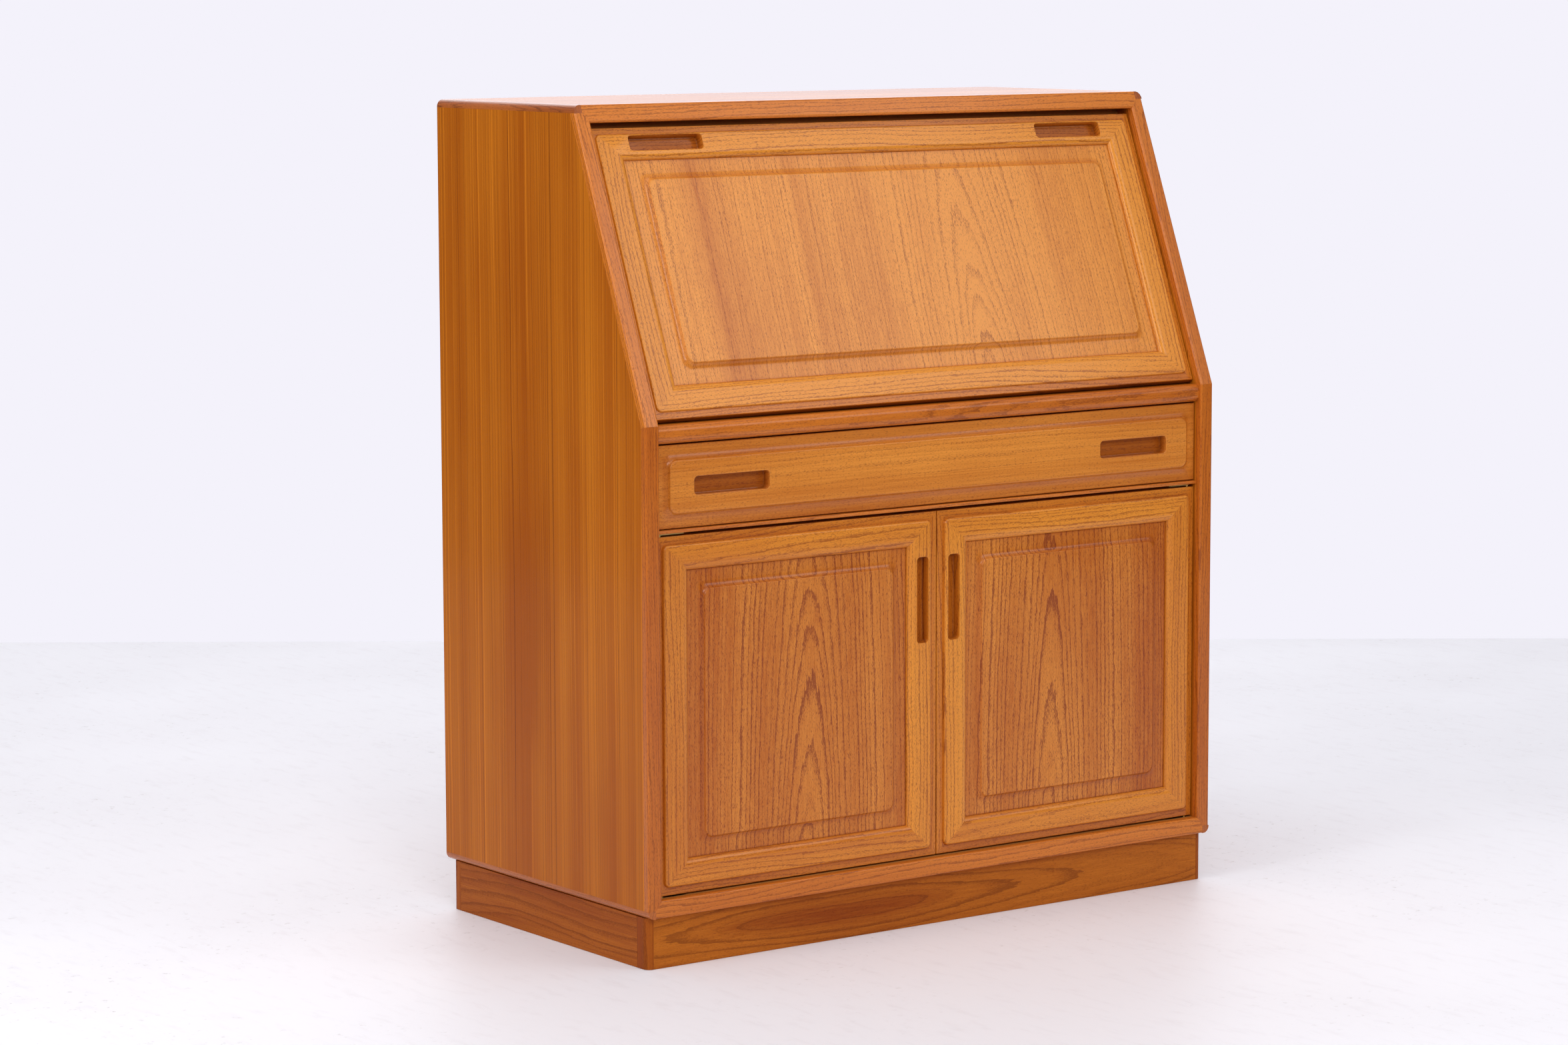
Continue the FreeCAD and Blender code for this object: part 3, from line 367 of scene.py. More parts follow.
def plain_finish(name, low, high, metal, rough):
    material, start = new_material(name)
    place = start.node("ShaderNodeTexCoord", {}, {}, out="Object")
    cloud = place.noise(STAINS, 3.0)
    rub = place.stretched(*SCRATCHES).noise(1.0, 2.0)
    relief = rub * 0.4 + cloud * 0.2
    bump = relief.node("ShaderNodeBump", {}, {"Strength": 0.15, "Distance": 0.0002, "Height": relief})
    shader = start.node("ShaderNodeBsdfPrincipled", {}, {
        "Base Color": cloud.mix(low, high), "Metallic": metal,
        "Roughness": (cloud - 0.5) * 0.25 + (rub - 0.5) * 0.15 + rough, "Normal": bump,
    })
    shader.node("ShaderNodeOutputMaterial", {}, {"Surface": shader})
    return material


FINISH["brass"] = plain_finish("brass", rgb(186, 148, 82), rgb(216, 184, 118), 1.0, 0.32)
FINISH["catch_plastic"] = plain_finish("catch_plastic", rgb(92, 62, 44), rgb(118, 82, 58), 0.0, 0.55)
print("finishes in all:", len(FINISH))

# %% [markdown]
# ## A board's place in the log
# The attributes could be painted, or unwrapped by hand. It is surer to work them out from the vertices: a
# board's grain direction and its face say how it lay in the log, and "heart" says where the pith ran. A
# pith that leans cuts the rings at a slant, and that is what makes arches.

# %% The grain attributes
shuffle = random.Random(4)
AXIS = {"x": Vector((1, 0, 0)), "y": Vector((0, 1, 0)), "z": Vector((0, 0, 1))}
START_RANGE = (2, 60)               # how far up the log a board may start, metres
TONE_RANGE = (-0.35, 0.35)


def lay_grain(mesh, along, face, heart, lean=0.0, start=None, figure=1.0, tone=None):
    """Writes the grain, tone and figure attributes. heart is (across, deep): where the pith runs, in mm,
    from the middle of the board across its face and below its surface. lean is how fast it dives, mm per
    mm."""
    across = face.cross(along).normalized()
    points = [v.co for v in mesh.vertices]
    middle = sum(points, Vector()) / len(points)
    top = max(p.dot(face) for p in points)
    shift = shuffle.uniform(*START_RANGE) if start is None else start
    rows = []
    for p in points:
        run = (p - middle).dot(along)
        rows += [
            (p - middle).dot(across) - heart[0] * MM,
            run + shift,
            (p.dot(face) - top) + heart[1] * MM + run * lean,
        ]
    layer = mesh.attributes.new("grain", "FLOAT_VECTOR", "POINT")
    layer.data.foreach_set("vector", rows)
    chance = shuffle.uniform(*TONE_RANGE)
    for name, value in (("tone", chance if tone is None else tone), ("figure", figure)):
        layer = mesh.attributes.new(name, "FLOAT", "POINT")
        layer.data.foreach_set("value", [value] * len(points))


print("boards start", START_RANGE, "metres up the log")

# %% [markdown]
# ## Dressing a piece
# Every piece needs the same last steps: faces that point outwards, soft shading that stays crisp at real
# edges, a finish, its place in the log, and the CAD body that it rides on. One function does them all, so
# no step is forgotten. A Weighted Normal modifier stays on each piece: it lets the broad faces decide the
# shading of the narrow rounds beside them, so that a flat face looks flat up to its edge.

# %% Bodies and the function that dresses a piece
BODY_OF = {}
for body_name, body_nodes in frame["record"]["behaviour"]["bodies"].items():
    for body_node in body_nodes:
        BODY_OF[body_node] = body_name

WELD = 2e-6                         # vertices nearer than this become one, metres
CRISP = math.radians(38)            # folds sharper than this stay crisp
FACE_WEIGHT = 80                    # how much a broad face outweighs a narrow one


def dress(bm, name, nodes, finish, along=None, face=None, heart=(0, 100), lean=0.0, start=None,
          figure=1.0, tone=None):
    """Turns a bmesh into a finished piece that stands for these CAD nodes."""
    bmesh.ops.remove_doubles(bm, verts=bm.verts, dist=WELD)
    bmesh.ops.recalc_face_normals(bm, faces=bm.faces)
    mesh = bpy.data.meshes.new(name)
    bm.to_mesh(mesh)
    bm.free()
    mesh.polygons.foreach_set("use_smooth", [True] * len(mesh.polygons))
    mesh.set_sharp_from_angle(angle=CRISP)
    piece = bpy.data.objects.new(name, mesh)
    bpy.context.scene.collection.objects.link(piece)
    if along is not None:
        lay_grain(mesh, along, face, heart, lean, start, figure, tone)
    mesh.materials.append(FINISH[finish])
    soften = piece.modifiers.new("soften", "WEIGHTED_NORMAL")
    soften.keep_sharp = True
    soften.weight = FACE_WEIGHT
    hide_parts(*nodes)
    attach(piece, BODY_OF[nodes[0]])
    return piece


print("bodies:", sorted(set(BODY_OF.values())))

# %% [markdown]
# ## Boards, strips and rails
# Most pieces are plain boards. The CAD mesh has the right shape but razor edges, and no real board has
# those: a pass of sandpaper leaves a tiny round that catches the light. A Bevel modifier could add it. Here
# the CAD mesh is copied, its loose triangles are merged into clean faces, and the sharp edges are
# bevelled in the mesh, so that the width can differ between a glued joint and an open edge.

# %% Eased copy of a CAD piece
MERGE = 1e-6                        # metres
FLAT = math.radians(0.4)            # faces this close to level become one face
EDGE = math.radians(33)             # folds sharper than this are eased


def eased(node, ease):
    bm = bmesh.new()
    bm.from_mesh(frame["nodes"][node].data)
    bmesh.ops.remove_doubles(bm, verts=bm.verts, dist=MERGE)
    bmesh.ops.dissolve_limit(
        bm, angle_limit=FLAT, verts=bm.verts, edges=bm.edges, use_dissolve_boundaries=False,
    )
    sharp = [edge for edge in bm.edges if edge.is_manifold and edge.calc_face_angle(0) > EDGE]
    bmesh.ops.bevel(
        bm, geom=sharp, offset=ease * MM, offset_type="OFFSET", segments=2, profile=0.5,
        affect="EDGES", clamp_overlap=True,
    )
    return bm


print("folds sharper than", round(math.degrees(EDGE)), "degrees are eased")

# %% Slope of the front
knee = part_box("lipping_lower_left")[1].z
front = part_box("lipping_lower_left")[0].y
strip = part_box("corner_strips_top")[0]
SLOPE = math.atan2(strip.y - front, strip.z - knee)
AXIS["slope"] = Vector((0, math.sin(SLOPE), math.cos(SLOPE)))
SLOPE_OUT = Vector((0, -math.cos(SLOPE), math.sin(SLOPE)))
print("slope, degrees:", round(math.degrees(SLOPE), 2))

# %% Boards
# node: finish, ease, grain direction, face direction, heart, lean
BOARDS = {
    "side_left": ("teak_veneer", 0.12, "z", (-1, 0, 0), (480, 60), 0.0),
    "side_right": ("teak_veneer", 0.12, "z", (1, 0, 0), (-480, 60), 0.0),
    "top_panel": ("teak_veneer", 0.12, "x", (0, 0, 1), (260, 50), 0.0),
    "back_panel": ("teak_veneer", 0.4, "z", (0, 1, 0), (-120, 90), 0.02),
    "bottom_panel": ("inner_wood", 0.15, "x", (0, 0, 1), (90, 60), 0.02),
    "deck_panel": ("inner_wood", 0.15, "x", (0, 0, 1), (200, 60), 0.0),
    "writing_bed": ("inner_wood", 0.5, "x", (0, 0, 1), (150, 50), 0.03),
    "divider_panel": ("inner_wood", 0.15, "x", (0, 0, 1), (180, 60), 0.0),
    "cupboard_shelf": ("teak_veneer", 0.6, "x", (0, 0, 1), (80, 50), 0.03),
    "flap_stop": ("inner_wood", 0.4, "x", (0, -1, 0), (30, 30), 0.0),
    "pigeonhole_shelf": ("inner_wood", 0.6, "x", (0, 0, 1), (90, 40), 0.02),
    "pigeonhole_partition_left": ("inner_wood", 0.5, "y", (-1, 0, 0), (40, 30), 0.05),
    "pigeonhole_partition_right": ("inner_wood", 0.5, "y", (1, 0, 0), (-30, 30), 0.05),
    "inner_drawer_front": ("inner_wood", 0.8, "x", (0, -1, 0), (10, 25), 0.06),
    "inner_drawer_tray": ("drawer_wood", 0.5, "y", (0, 0, 1), (60, 40), 0.0),
    "corner_strips_top": ("teak_strip", 0.12, "y", (0, 0, 1), (15, 60), 0.0),
    "corner_strips_bottom": ("teak_strip", 0.12, "y", (-1, 0, 0), (20, 60), 0.0),
    "lipping_top": ("teak_lipping", 0.12, "x", (0, -1, 0), (40, 50), 0.0),
    "lipping_bottom": ("teak_lipping", 0.12, "x", (0, -1, 0), (30, 40), 0.0),
    "lipping_upper_left": ("teak_lipping", 0.12, "slope", (0, -1, 0), (24, 30), 0.02),
    "lipping_upper_right": ("teak_lipping", 0.12, "slope", (0, -1, 0), (-22, 34), 0.03),
    "lipping_lower_left": ("teak_lipping", 0.12, "z", (0, -1, 0), (30, 30), 0.01),
    "lipping_lower_right": ("teak_lipping", 0.12, "z", (0, -1, 0), (-30, 36), 0.01),
    "deck_rail": ("teak_lipping", 0.2, "x", (0, -1, 0), (4, 14), 0.045),
    "divider_bead": ("teak_lipping", 0.2, "x", (0, -1, 0), (20, 40), 0.0),
    "plinth_front": ("teak_plinth", 0.3, "x", (0, -1, 0), (4, 10), 0.05),
    "plinth_back": ("teak_plinth", 0.3, "x", (0, 1, 0), (30, 40), 0.02),
    "plinth_left": ("teak_plinth", 0.3, "y", (-1, 0, 0), (60, 40), 0.0),
    "plinth_right": ("teak_plinth", 0.3, "y", (1, 0, 0), (60, 40), 0.0),
    "plinth_posts": ("teak_plinth", 0.3, "z", (-1, 0, 0), (50, 60), 0.0),
    "drawer_sides": ("drawer_wood", 0.8, "y", (1, 0, 0), (30, 40), 0.0),
    "drawer_back": ("drawer_wood", 0.8, "x", (0, 1, 0), (30, 40), 0.0),
    "drawer_bottom": ("drawer_wood", 0.3, "x", (0, 0, 1), (90, 50), 0.03),
    "drawer_runners": ("drawer_wood", 0.4, "y", (0, 0, 1), (30, 40), 0.0),
}
# boards whose tone is given; the others take their chance
PICKED_TONE = {"lipping_top": 0.75, "lipping_lower_left": -0.3}
for node, (finish, ease, along, face, heart, lean) in BOARDS.items():
    way = SLOPE_OUT if along == "slope" else Vector(face)
    dress(eased(node, ease), node + "_wood", [node], finish, AXIS[along], way, heart, lean,
          tone=PICKED_TONE.get(node))
print("boards:", len(BOARDS))

# %% [markdown]
# ## Metal and plastic fittings
# Hinges, stays, pins and catches are small and mostly hidden, but they show when a door or the flap is
# open. Their CAD shapes are right, so they too are eased copies, all with the same small round.

# %% Fittings
METAL_EASE = 0.2
FITTINGS = {
    "hinge_leaves_left": "brass", "hinge_leaves_right": "brass", "hinge_plates": "brass",
    "flap_pivot_pins": "brass", "stay_side_plates": "brass", "stay_rear_arms": "brass",
    "stay_front_arms": "brass", "stay_flap_brackets": "brass", "magnetic_catches": "catch_plastic",
}
for node, finish in FITTINGS.items():
    dress(eased(node, METAL_EASE), node + "_metal", [node], finish)
print("fittings:", len(FITTINGS))

# %% [markdown]
# ## Carved fronts: outlines
# The flap, the doors and the drawer front are all made of outlines that lie inside each other, like the
# contours of a map. An outline is a rectangle with rounded corners at one level. Two things are made from
# them: a panel, where whole outlines are joined, and a frame member, where only one side of each outline
# is used, from mitre to mitre. Booleans could cut the same shapes, but they leave ragged faces where the
# light should run smoothly.

# %% Outlines
ARC = 6                  # steps in a rounded corner
SAME = 1e-6              # points nearer than this are one point, metres


def outline(x0, x1, y0, y1, radius, level):
    """Closed rounded rectangle, anticlockwise, with the same number of points for any radius."""
    points = []
    for cx, cy, turn in ((x0 + radius, y0 + radius, 180), (x1 - radius, y0 + radius, 270),
                         (x1 - radius, y1 - radius, 0), (x0 + radius, y1 - radius, 90)):
        for i in range(ARC + 1):
            angle = math.radians(turn + 90 * i / ARC)
            points.append((cx + radius * math.cos(angle), cy + radius * math.sin(angle), level))
    return points


def thinned(loop):
    """The loop without points that lie on the one before."""
    return [vert for i, vert in enumerate(loop) if (vert.co - loop[i - 1].co).length > SAME]


print("points in an outline:", len(outline(0, 1, 0, 1, 0, 0)))

# %% A front, drawn with outlines
SLOT_RIM = 0.9           # how far the eased edge of a finger slot spreads
LEAST_ROUND = 0.5
# growth, depth below the rim, painted shade
SLOT_EDGE = ((0.45, 0.12, 0.1), (0.12, 0.45, 0.2), (0.0, 0.9, 0.35))
# growth, height above the floor, painted shade, dark in the slot's depth
SLOT_FLOOR = ((0.0, 2.0, 1.4), (-0.6, 0.6, 1.45), (-2.0, 0.0, 1.3))


class Front:
    """A bmesh in a front's own plane: x across, y up, and level outwards, in mm."""

    def __init__(self, to_world):
        self.bm = bmesh.new()
        # each vertex carries a painted shade value for the finish
        self.pool = self.bm.verts.layers.float.new("pool")
        self.to_world = to_world

    def row(self, points, pool=0.0):
        made = []
        for x, y, level in points:
            vert = self.bm.verts.new(self.to_world @ Vector((x, y, level)))
            vert[self.pool] = pool
            made.append(vert)
        return made

    def join(self, one, two, closed):
        last = len(one) if closed else len(one) - 1
        for i in range(last):
            j = (i + 1) % len(one)
            corners = []
            for vert in (one[i], one[j], two[j], two[i]):
                if all((vert.co - other.co).length > SAME for other in corners):
                    corners.append(vert)
            if len(corners) > 2:
                self.bm.faces.new(corners)

    def lid(self, loop):
        self.bm.faces.new(thinned(loop))

    def holed(self, outer, holes):
        """Flat face with holes: triangles between the loops."""
        edges = []
        for loop in [outer, *holes]:
            loop = thinned(loop)
            for vert, other in zip(loop, loop[1:] + loop[:1]):
                edges.append(self.bm.edges.get((vert, other)) or self.bm.edges.new((vert, other)))
        bmesh.ops.triangle_fill(self.bm, edges=edges, use_beauty=True)

    def pocket(self, x, y, size, top, depth, radius):
        """Finger slot: returns its rim, after adding the eased edge, the walls and the floor."""
        def ring(grow, level, pool):
            return self.row(outline(
                x - size[0] / 2 - grow, x + size[0] / 2 + grow, y - size[1] / 2 - grow,
                y + size[1] / 2 + grow, max(radius + grow, LEAST_ROUND), level,
            ), pool)
        rim = ring(SLOT_RIM, top, 0.0)
        before = rim
        # the slot's walls and floor are darkened as painted shade
        steps = [(grow, top - down, pool) for grow, down, pool in SLOT_EDGE]
        steps += [(grow, top - depth + up, pool) for grow, up, pool in SLOT_FLOOR]
        for grow, level, pool in steps:
            after = ring(grow, level, pool)
            self.join(before, after, True)
            before = after
        self.lid(before)
        return rim


print("outlines in a finger slot:", 1 + len(SLOT_EDGE) + len(SLOT_FLOOR))

# %% The hollow between two outlines
# degrees of the round and its painted shade, then the brow as (share of the width, share of the rise,
# painted shade)
HOLLOW_ROUND = ((0, 0.08), (14, 0.3), (27, 0.55), (39, 0.6), (50, 0.5), (60, 0.4), (68, 0.3))
HOLLOW_BROW = ((0.975, 0.78, 0.2), (1.0, 0.90, 0.1), (1.05, 0.965, 0.0), (1.13, 1.0, 0.0))
HOLLOW = []
for degrees, pool in HOLLOW_ROUND:
    turn = math.radians(degrees)
    HOLLOW.append((math.sin(turn), 1 - math.cos(turn), pool))
HOLLOW += HOLLOW_BROW
print("outlines in a hollow:", len(HOLLOW))

# %% [markdown]
# ## Frame members
# A door frame is four lengths of moulding, mitred at the corners. The section has a low border, a step up
# to the broad face, and a quarter round that falls to the panel. It could be swept along a curve, but then
# the raised face would have square corners. Here the step's outline is rounded and each member ends on the
# mitre, where the rounded outline meets it, so the grain can turn the corner while the shape runs on.

# %% One mitred member
TURN_ROOM = 8.3          # an extra cut near the ends, so that the flap's foot can be turned
FACE_ROW = 8             # the row of the section where the flat face starts
SQUARE = 0.01            # a corner radius below this is a square corner


def mitre_point(inset_u, inset_v, radius, slant):
    """Where a rounded corner crosses the mitre, and the angle from the corner's centre."""
    cu, cv = inset_u + radius, inset_v + radius
    a = 1 + slant ** 2
    b = -2 * (cu + slant * cv)
    c = cu ** 2 + cv ** 2 - radius ** 2
    u = (-b - math.sqrt(b ** 2 - 4 * a * c)) / (2 * a)
    return math.atan2(slant * u - cv, u - cu)


def member(piece, place, length, own, other, section, pockets=()):
    """Adds one member to a front. place turns (along, inset, level) into its x, y and level."""
    slant = own / other
    rows = []
    for inset_u, inset_v, radius, level, pool in section:
        half = []
        if radius > SQUARE:
            split = mitre_point(inset_u, inset_v, radius, slant) % (2 * math.pi)
            for i in range(ARC + 1):
                angle = split + (1.5 * math.pi - split) * i / ARC
                half.append((inset_u + radius + radius * math.cos(angle),
                             inset_v + radius + radius * math.sin(angle)))
        else:
            half = [(inset_u, inset_v)] * (ARC + 1)
        half.append((max(half[-1][0], TURN_ROOM), half[-1][1]))
        points = half + [(length - u, v) for u, v in reversed(half)]
        rows.append(piece.row([place(u, v, level) for u, v in points], pool))
    for k in range(len(section)):
        after = (k + 1) % len(section)
        if pockets and k == FACE_ROW:
            rims = [piece.pocket(*pocket) for pocket in pockets]
            piece.holed(rows[k] + rows[after][::-1], rims)
        else:
            piece.join(rows[k], rows[after], False)
    for end in (0, -1):
        piece.lid([row[end] for row in rows])


split = mitre_point(0, 0, 1, 1) % (2 * math.pi)
print("equal members meet", round(math.degrees(split)), "degrees round the corner")

# %% The section of a member
CROWN_ROUND = 7.0        # corner radius of the step
EDGE_CUT = 0.6           # round at the outer edge
EDGE_MIDDLE = 0.2        # and the middle of that round
CREASE = 0.8             # width of the crease at the foot of the step
OVOLO_STEPS = 8
# painted shade at the foot of the quarter round
OVOLO_PAINTED_SHADE = 0.4


def frame_section(own, other, base, thick, step, rise, ovolo, sink):
    """The moulding as a closed loop of (inset along, inset across, corner radius, level, painted shade)."""
    face = base + rise
    ease = rise * 0.6
    back = base - thick
    loop = [
        (0, 0, 0, back, 0),
        (0, 0, 0, base - EDGE_CUT, 0.3),
        (EDGE_MIDDLE, EDGE_MIDDLE, 0, base - EDGE_MIDDLE, 0.3),
        (EDGE_CUT, EDGE_CUT, 0, base, 0.4),
        # painted shade, darkest in the crease at the foot of the step
        (step - CREASE, step - CREASE, CROWN_ROUND + CREASE, base, 0.9),
        (step, step, CROWN_ROUND, face - ease, 0.7),
    ]
    for angle in (30, 60, 90):
        turn = math.radians(angle)
        inward = ease * (1 - math.cos(turn))
        loop.append((step + inward, step + inward, CROWN_ROUND - inward,
                     face - ease + ease * math.sin(turn), 0.1 if angle < 60 else 0.0))
    half = OVOLO_STEPS // 2
    for i in range(OVOLO_STEPS + 1):
        turn = math.radians(90 * i / OVOLO_STEPS)
        spread = ovolo * (1 - math.sin(turn))
        pool = OVOLO_PAINTED_SHADE * max(0, i - half) / half
        loop.append((other - spread, own - spread, 0, face - sink * (1 - math.cos(turn)), pool))
    loop.append((other, own, 0, back, 0))
    return loop


print("points on the quarter round:", OVOLO_STEPS + 1)

# %% Four members as a frame
# ranges that a member's place in the log is drawn from
HEART_ASIDE = (30, 70)
HEART_DEEP = (15, 50)
HEART_LEAN = (0.0, 0.03)
TONE_SPREAD = (-0.2, 0.2)


def make_frame(to_world, box, base, thick, step, rise, stile, rail, ovolo, sink, names, tone,
               pockets=None, foot=None):
    """Four members round a box (x0, x1, y0, y1). names gives each side's CAD node."""
    x0, x1, y0, y1 = box
    sides = {
        "bottom": (lambda u, v, w: (x0 + u, y0 + v, w), x1 - x0, rail, stile),
        "top": (lambda u, v, w: (x0 + u, y1 - v, w), x1 - x0, rail, stile),
        "left": (lambda u, v, w: (x0 + v, y0 + u, w), y1 - y0, stile, rail),
        "right": (lambda u, v, w: (x1 - v, y0 + u, w), y1 - y0, stile, rail),
    }
    out = (to_world.to_3x3() @ Vector((0, 0, 1))).normalized()
    for side, (place, length, own, other) in sides.items():
        section = frame_section(own, other, base, thick, step, rise, ovolo, sink)
        if foot and side == "bottom":
            section = foot(section)
        piece = Front(to_world)
        member(piece, place, length, own, other, section, (pockets or {}).get(side, ()))
        if foot:
            turn_foot(piece)
        along = to_world.to_3x3() @ Vector((1, 0, 0) if side in ("top", "bottom") else (0, 1, 0))
        heart = (shuffle.uniform(*HEART_ASIDE) * shuffle.choice((-1, 1)), shuffle.uniform(*HEART_DEEP))
        dress(piece.bm, names[side] + "_wood", [names[side]], "teak_frame", along.normalized(), out,
              heart, shuffle.uniform(*HEART_LEAN), tone=tone + shuffle.uniform(*TONE_SPREAD))
    return (x0 + stile, x1 - stile, y0 + rail, y1 - rail)


print("the pith of a member lies", HEART_ASIDE, "mm aside and", HEART_DEEP, "mm deep")

# %% [markdown]
# ## Carved panels
# A panel is a slab whose middle is left standing as a raised field, with a hollow worked round it. It is a
# stack of whole outlines, from the back, round the edge, in through the hollow and up to the field.

# %% A panel with a raised field
PANEL_EASE = 0.5         # round at the slab's own edge
RIM_SHARE = 0.2          # the corner with painted shade takes this share of the margin


def make_panel(to_world, node, box, margin, level, back, rise, hollow, radius, pockets=(),
               way=(0, 1, 0), **wood):
    """A slab with a raised field, as the node. way is the grain's direction in the front's plane."""
    x0, x1, y0, y1 = box
    piece = Front(to_world)
    rim = margin * RIM_SHARE
    # inset, corner radius, level, painted shade
    steps = [(0, 0, back, 0.0), (0, 0, level - PANEL_EASE, 0.5), (PANEL_EASE, 0, level, 0.5),
             (rim, 0, level, 0.05)]
    steps += [(margin + hollow * share, radius, level + rise * lift, pool) for share, lift, pool in HOLLOW]
    rows = []
    for inset, corner, height, pool in steps:
        rows.append(piece.row(outline(
            x0 + inset, x1 - inset, y0 + inset, y1 - inset, corner, height,
        ), pool))
    for one, two in zip(rows, rows[1:]):
        piece.join(one, two, True)
    piece.lid(rows[0])
    rims = [piece.pocket(*pocket) for pocket in pockets]
    if rims:
        piece.holed(rows[-1], rims)
    else:
        piece.lid(rows[-1])
    out = (to_world.to_3x3() @ Vector((0, 0, 1))).normalized()
    along = (to_world.to_3x3() @ Vector(way)).normalized()
    return dress(piece.bm, node + "_wood", [node], "teak_panel", along, out, **wood)


print("round at a panel's own edge, mm:", PANEL_EASE)

# %% [markdown]
# ## The two front planes
# The doors and the drawer stand in the upright plane, the flap in the slanted one. Each plane gets a matrix
# that turns its own millimetres into metres in the room. Level 0 is the plane through the front edges of
# the carcass, so the fronts, which are set back, have negative levels.

# %% Upright and slanted planes
def plane(corner, up):
    out = Vector((1, 0, 0)).cross(up)
    columns = Matrix((Vector((1, 0, 0)), up, out)).transposed().to_4x4()
    return Matrix.Translation(corner) @ columns @ Matrix.Scale(MM, 4)


UPRIGHT = plane(Vector((0, front, 0)), AXIS["z"])
SLANTED = plane(Vector((0, front, knee)), AXIS["slope"])
SETBACK = 13.0           # fronts behind the carcass's front edges
SLOT_ROUND = 5.0         # corner radius of every finger slot
SLOT_DEPTH = 13.0
SLOT_ASIDE = 325.5       # from the desk's middle to the slots of the drawer and the flap


def span(nodes):
    """Box of some nodes in mm, as (x0, x1, z0, z1)."""
    lows = [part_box(node)[0] for node in nodes]
    highs = [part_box(node)[1] for node in nodes]
    return [value / MM for value in (
        min(p.x for p in lows), max(p.x for p in highs), min(p.z for p in lows), max(p.z for p in highs),
    )]


print("fronts stand back, mm:", SETBACK)

# %% [markdown]
# ## Doors
# Two frames with carved panels. The veneer on each panel is cut near the middle of the log, so its rings
# show as tall arches. The pith is set close behind the face and leans, which is what makes arches.

# %% Doors
DOOR = dict(base=-SETBACK, thick=20.0, step=10.5, rise=4.5, stile=47.5, rail=43.5, ovolo=10.0, sink=6.5)
DOOR_SLOT = (18.5, 111.0)
DOOR_SLOT_ASIDE = 25.5   # from the desk's middle
DOOR_SLOT_DOWN = 112.5   # from the door's top edge
DOOR_PANEL = dict(margin=15.5, rise=5.5, hollow=9.0, radius=10.0)
DOOR_PANEL_THICK = 11
# pith across and deep, its lean, and the start up the log in metres
DOOR_HEART = {"left": (-14, 34, 0.09, 21.4), "right": (29, 30, 0.08, 34.2)}
for sign, side in ((-1, "left"), (1, "right")):
    door = "door_" + side
    box = span([door + "_hinge_stile", door + "_meeting_stile"])
    inner = "right" if side == "left" else "left"
    names = {"top": door + "_rail_top", "bottom": door + "_rail_bottom",
             inner: door + "_meeting_stile", side: door + "_hinge_stile"}
    face = DOOR["base"] + DOOR["rise"]
    slot = (sign * DOOR_SLOT_ASIDE, box[3] - DOOR_SLOT_DOWN, DOOR_SLOT, face, SLOT_DEPTH, SLOT_ROUND)
    hole = make_frame(UPRIGHT, box, names=names, tone=0.25, pockets={inner: [slot]}, **DOOR)
    level = face - DOOR["sink"]
    across, deep, lean, start = DOOR_HEART[side]
    make_panel(UPRIGHT, door + "_panel", hole, level=level, back=level - DOOR_PANEL_THICK,
               heart=(across, deep), lean=lean, start=start, tone=-0.4, **DOOR_PANEL)
    print(door, "box, mm:", [round(v, 1) for v in box])

# %% [markdown]
# ## Drawer front
# One solid board, carved like the panels, with a finger slot near each end. Its grain runs across.

# %% Drawer front
DRAWER = dict(margin=9.0, rise=6.8, hollow=10.0, radius=10.0)
DRAWER_THICK = 18
DRAWER_SLOT = (114.0, 23.0)
box = span(["drawer_front"])
slot_y = (box[2] + box[3]) / 2
face = -SETBACK + DRAWER["rise"]
slots = [(sign * SLOT_ASIDE, slot_y, DRAWER_SLOT, face, SLOT_DEPTH, SLOT_ROUND) for sign in (-1, 1)]
make_panel(UPRIGHT, "drawer_front", box, level=-SETBACK, back=-SETBACK - DRAWER_THICK, pockets=slots,
           way=(1, 0, 0), heart=(95, 60), lean=0.0, start=12.0, figure=0.4, tone=0.0, **DRAWER)
print("drawer front box, mm:", [round(v, 1) for v in box])

# %% [markdown]
# ## Writing flap
# The same kind of frame, thinner, on the slope. Its foot is turned to a round about the pivot pins, so that
# it can swing without touching the deck. There the section's outer wall gives way to an arc.

# %% Flap
FLAP = dict(base=-SETBACK, thick=18.0, step=9.0, rise=2.5, stile=45.5, rail=42.0, ovolo=9.0, sink=6.0)
FLAP_PANEL = dict(margin=17.5, rise=5.5, hollow=9.0, radius=10.0)
FLAP_SLOT = (111.5, 20.0)
FLAP_SLOT_DOWN = 21.0    # from the flap's upper edge
FLAP_FOOT = 12.0         # the flap starts this far up the slope from the knee
FLAP_PIVOT = (20.0, -20.1)
FOOT_ROUND = 10.7
FOOT_CLEAR = 0.3         # the front of the foot this near the face is left as it is
# painted shade round the foot, dark for the shadow gap above the deck, from the back to the front
FOOT_PAINTED_SHADE = (2.0, 2.0, 2.0, 2.0, 2.0, 2.0, 2.0, 2.0, 2.0, 2.0, 2.0, 1.9, 0.8)
BORDER_ROW = 4           # the row of the section where the foot joins the border
flap_low, flap_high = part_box("flap_rail_top")
flap_head = ((flap_high.z - knee) / MM + SETBACK * math.sin(SLOPE)) / math.cos(SLOPE)
print("flap's upper edge along the slope, mm:", round(flap_head, 2))


def foot_section(section):
    """Replaces the bottom rail's outer wall by an arc about the pivot, back to front."""
    foremost = math.pi - math.asin((-SETBACK - FLAP_PIVOT[1]) / FOOT_ROUND)
    widen = FLAP["stile"] / FLAP["rail"]
    loop = [(TURN_ROOM * widen, TURN_ROOM, 0, -SETBACK - FLAP["thick"], 0)]
    last = len(FOOT_PAINTED_SHADE) - 1
    for i, pool in enumerate(FOOT_PAINTED_SHADE):
        angle = 1.5 * math.pi + (foremost - 1.5 * math.pi) * i / last
        inset = FLAP_PIVOT[0] + FOOT_ROUND * math.cos(angle) - FLAP_FOOT
        level = FLAP_PIVOT[1] + FOOT_ROUND * math.sin(angle)
        loop.append((max(0, inset) * widen, inset, 0, level, pool))
    return loop + section[BORDER_ROW:]


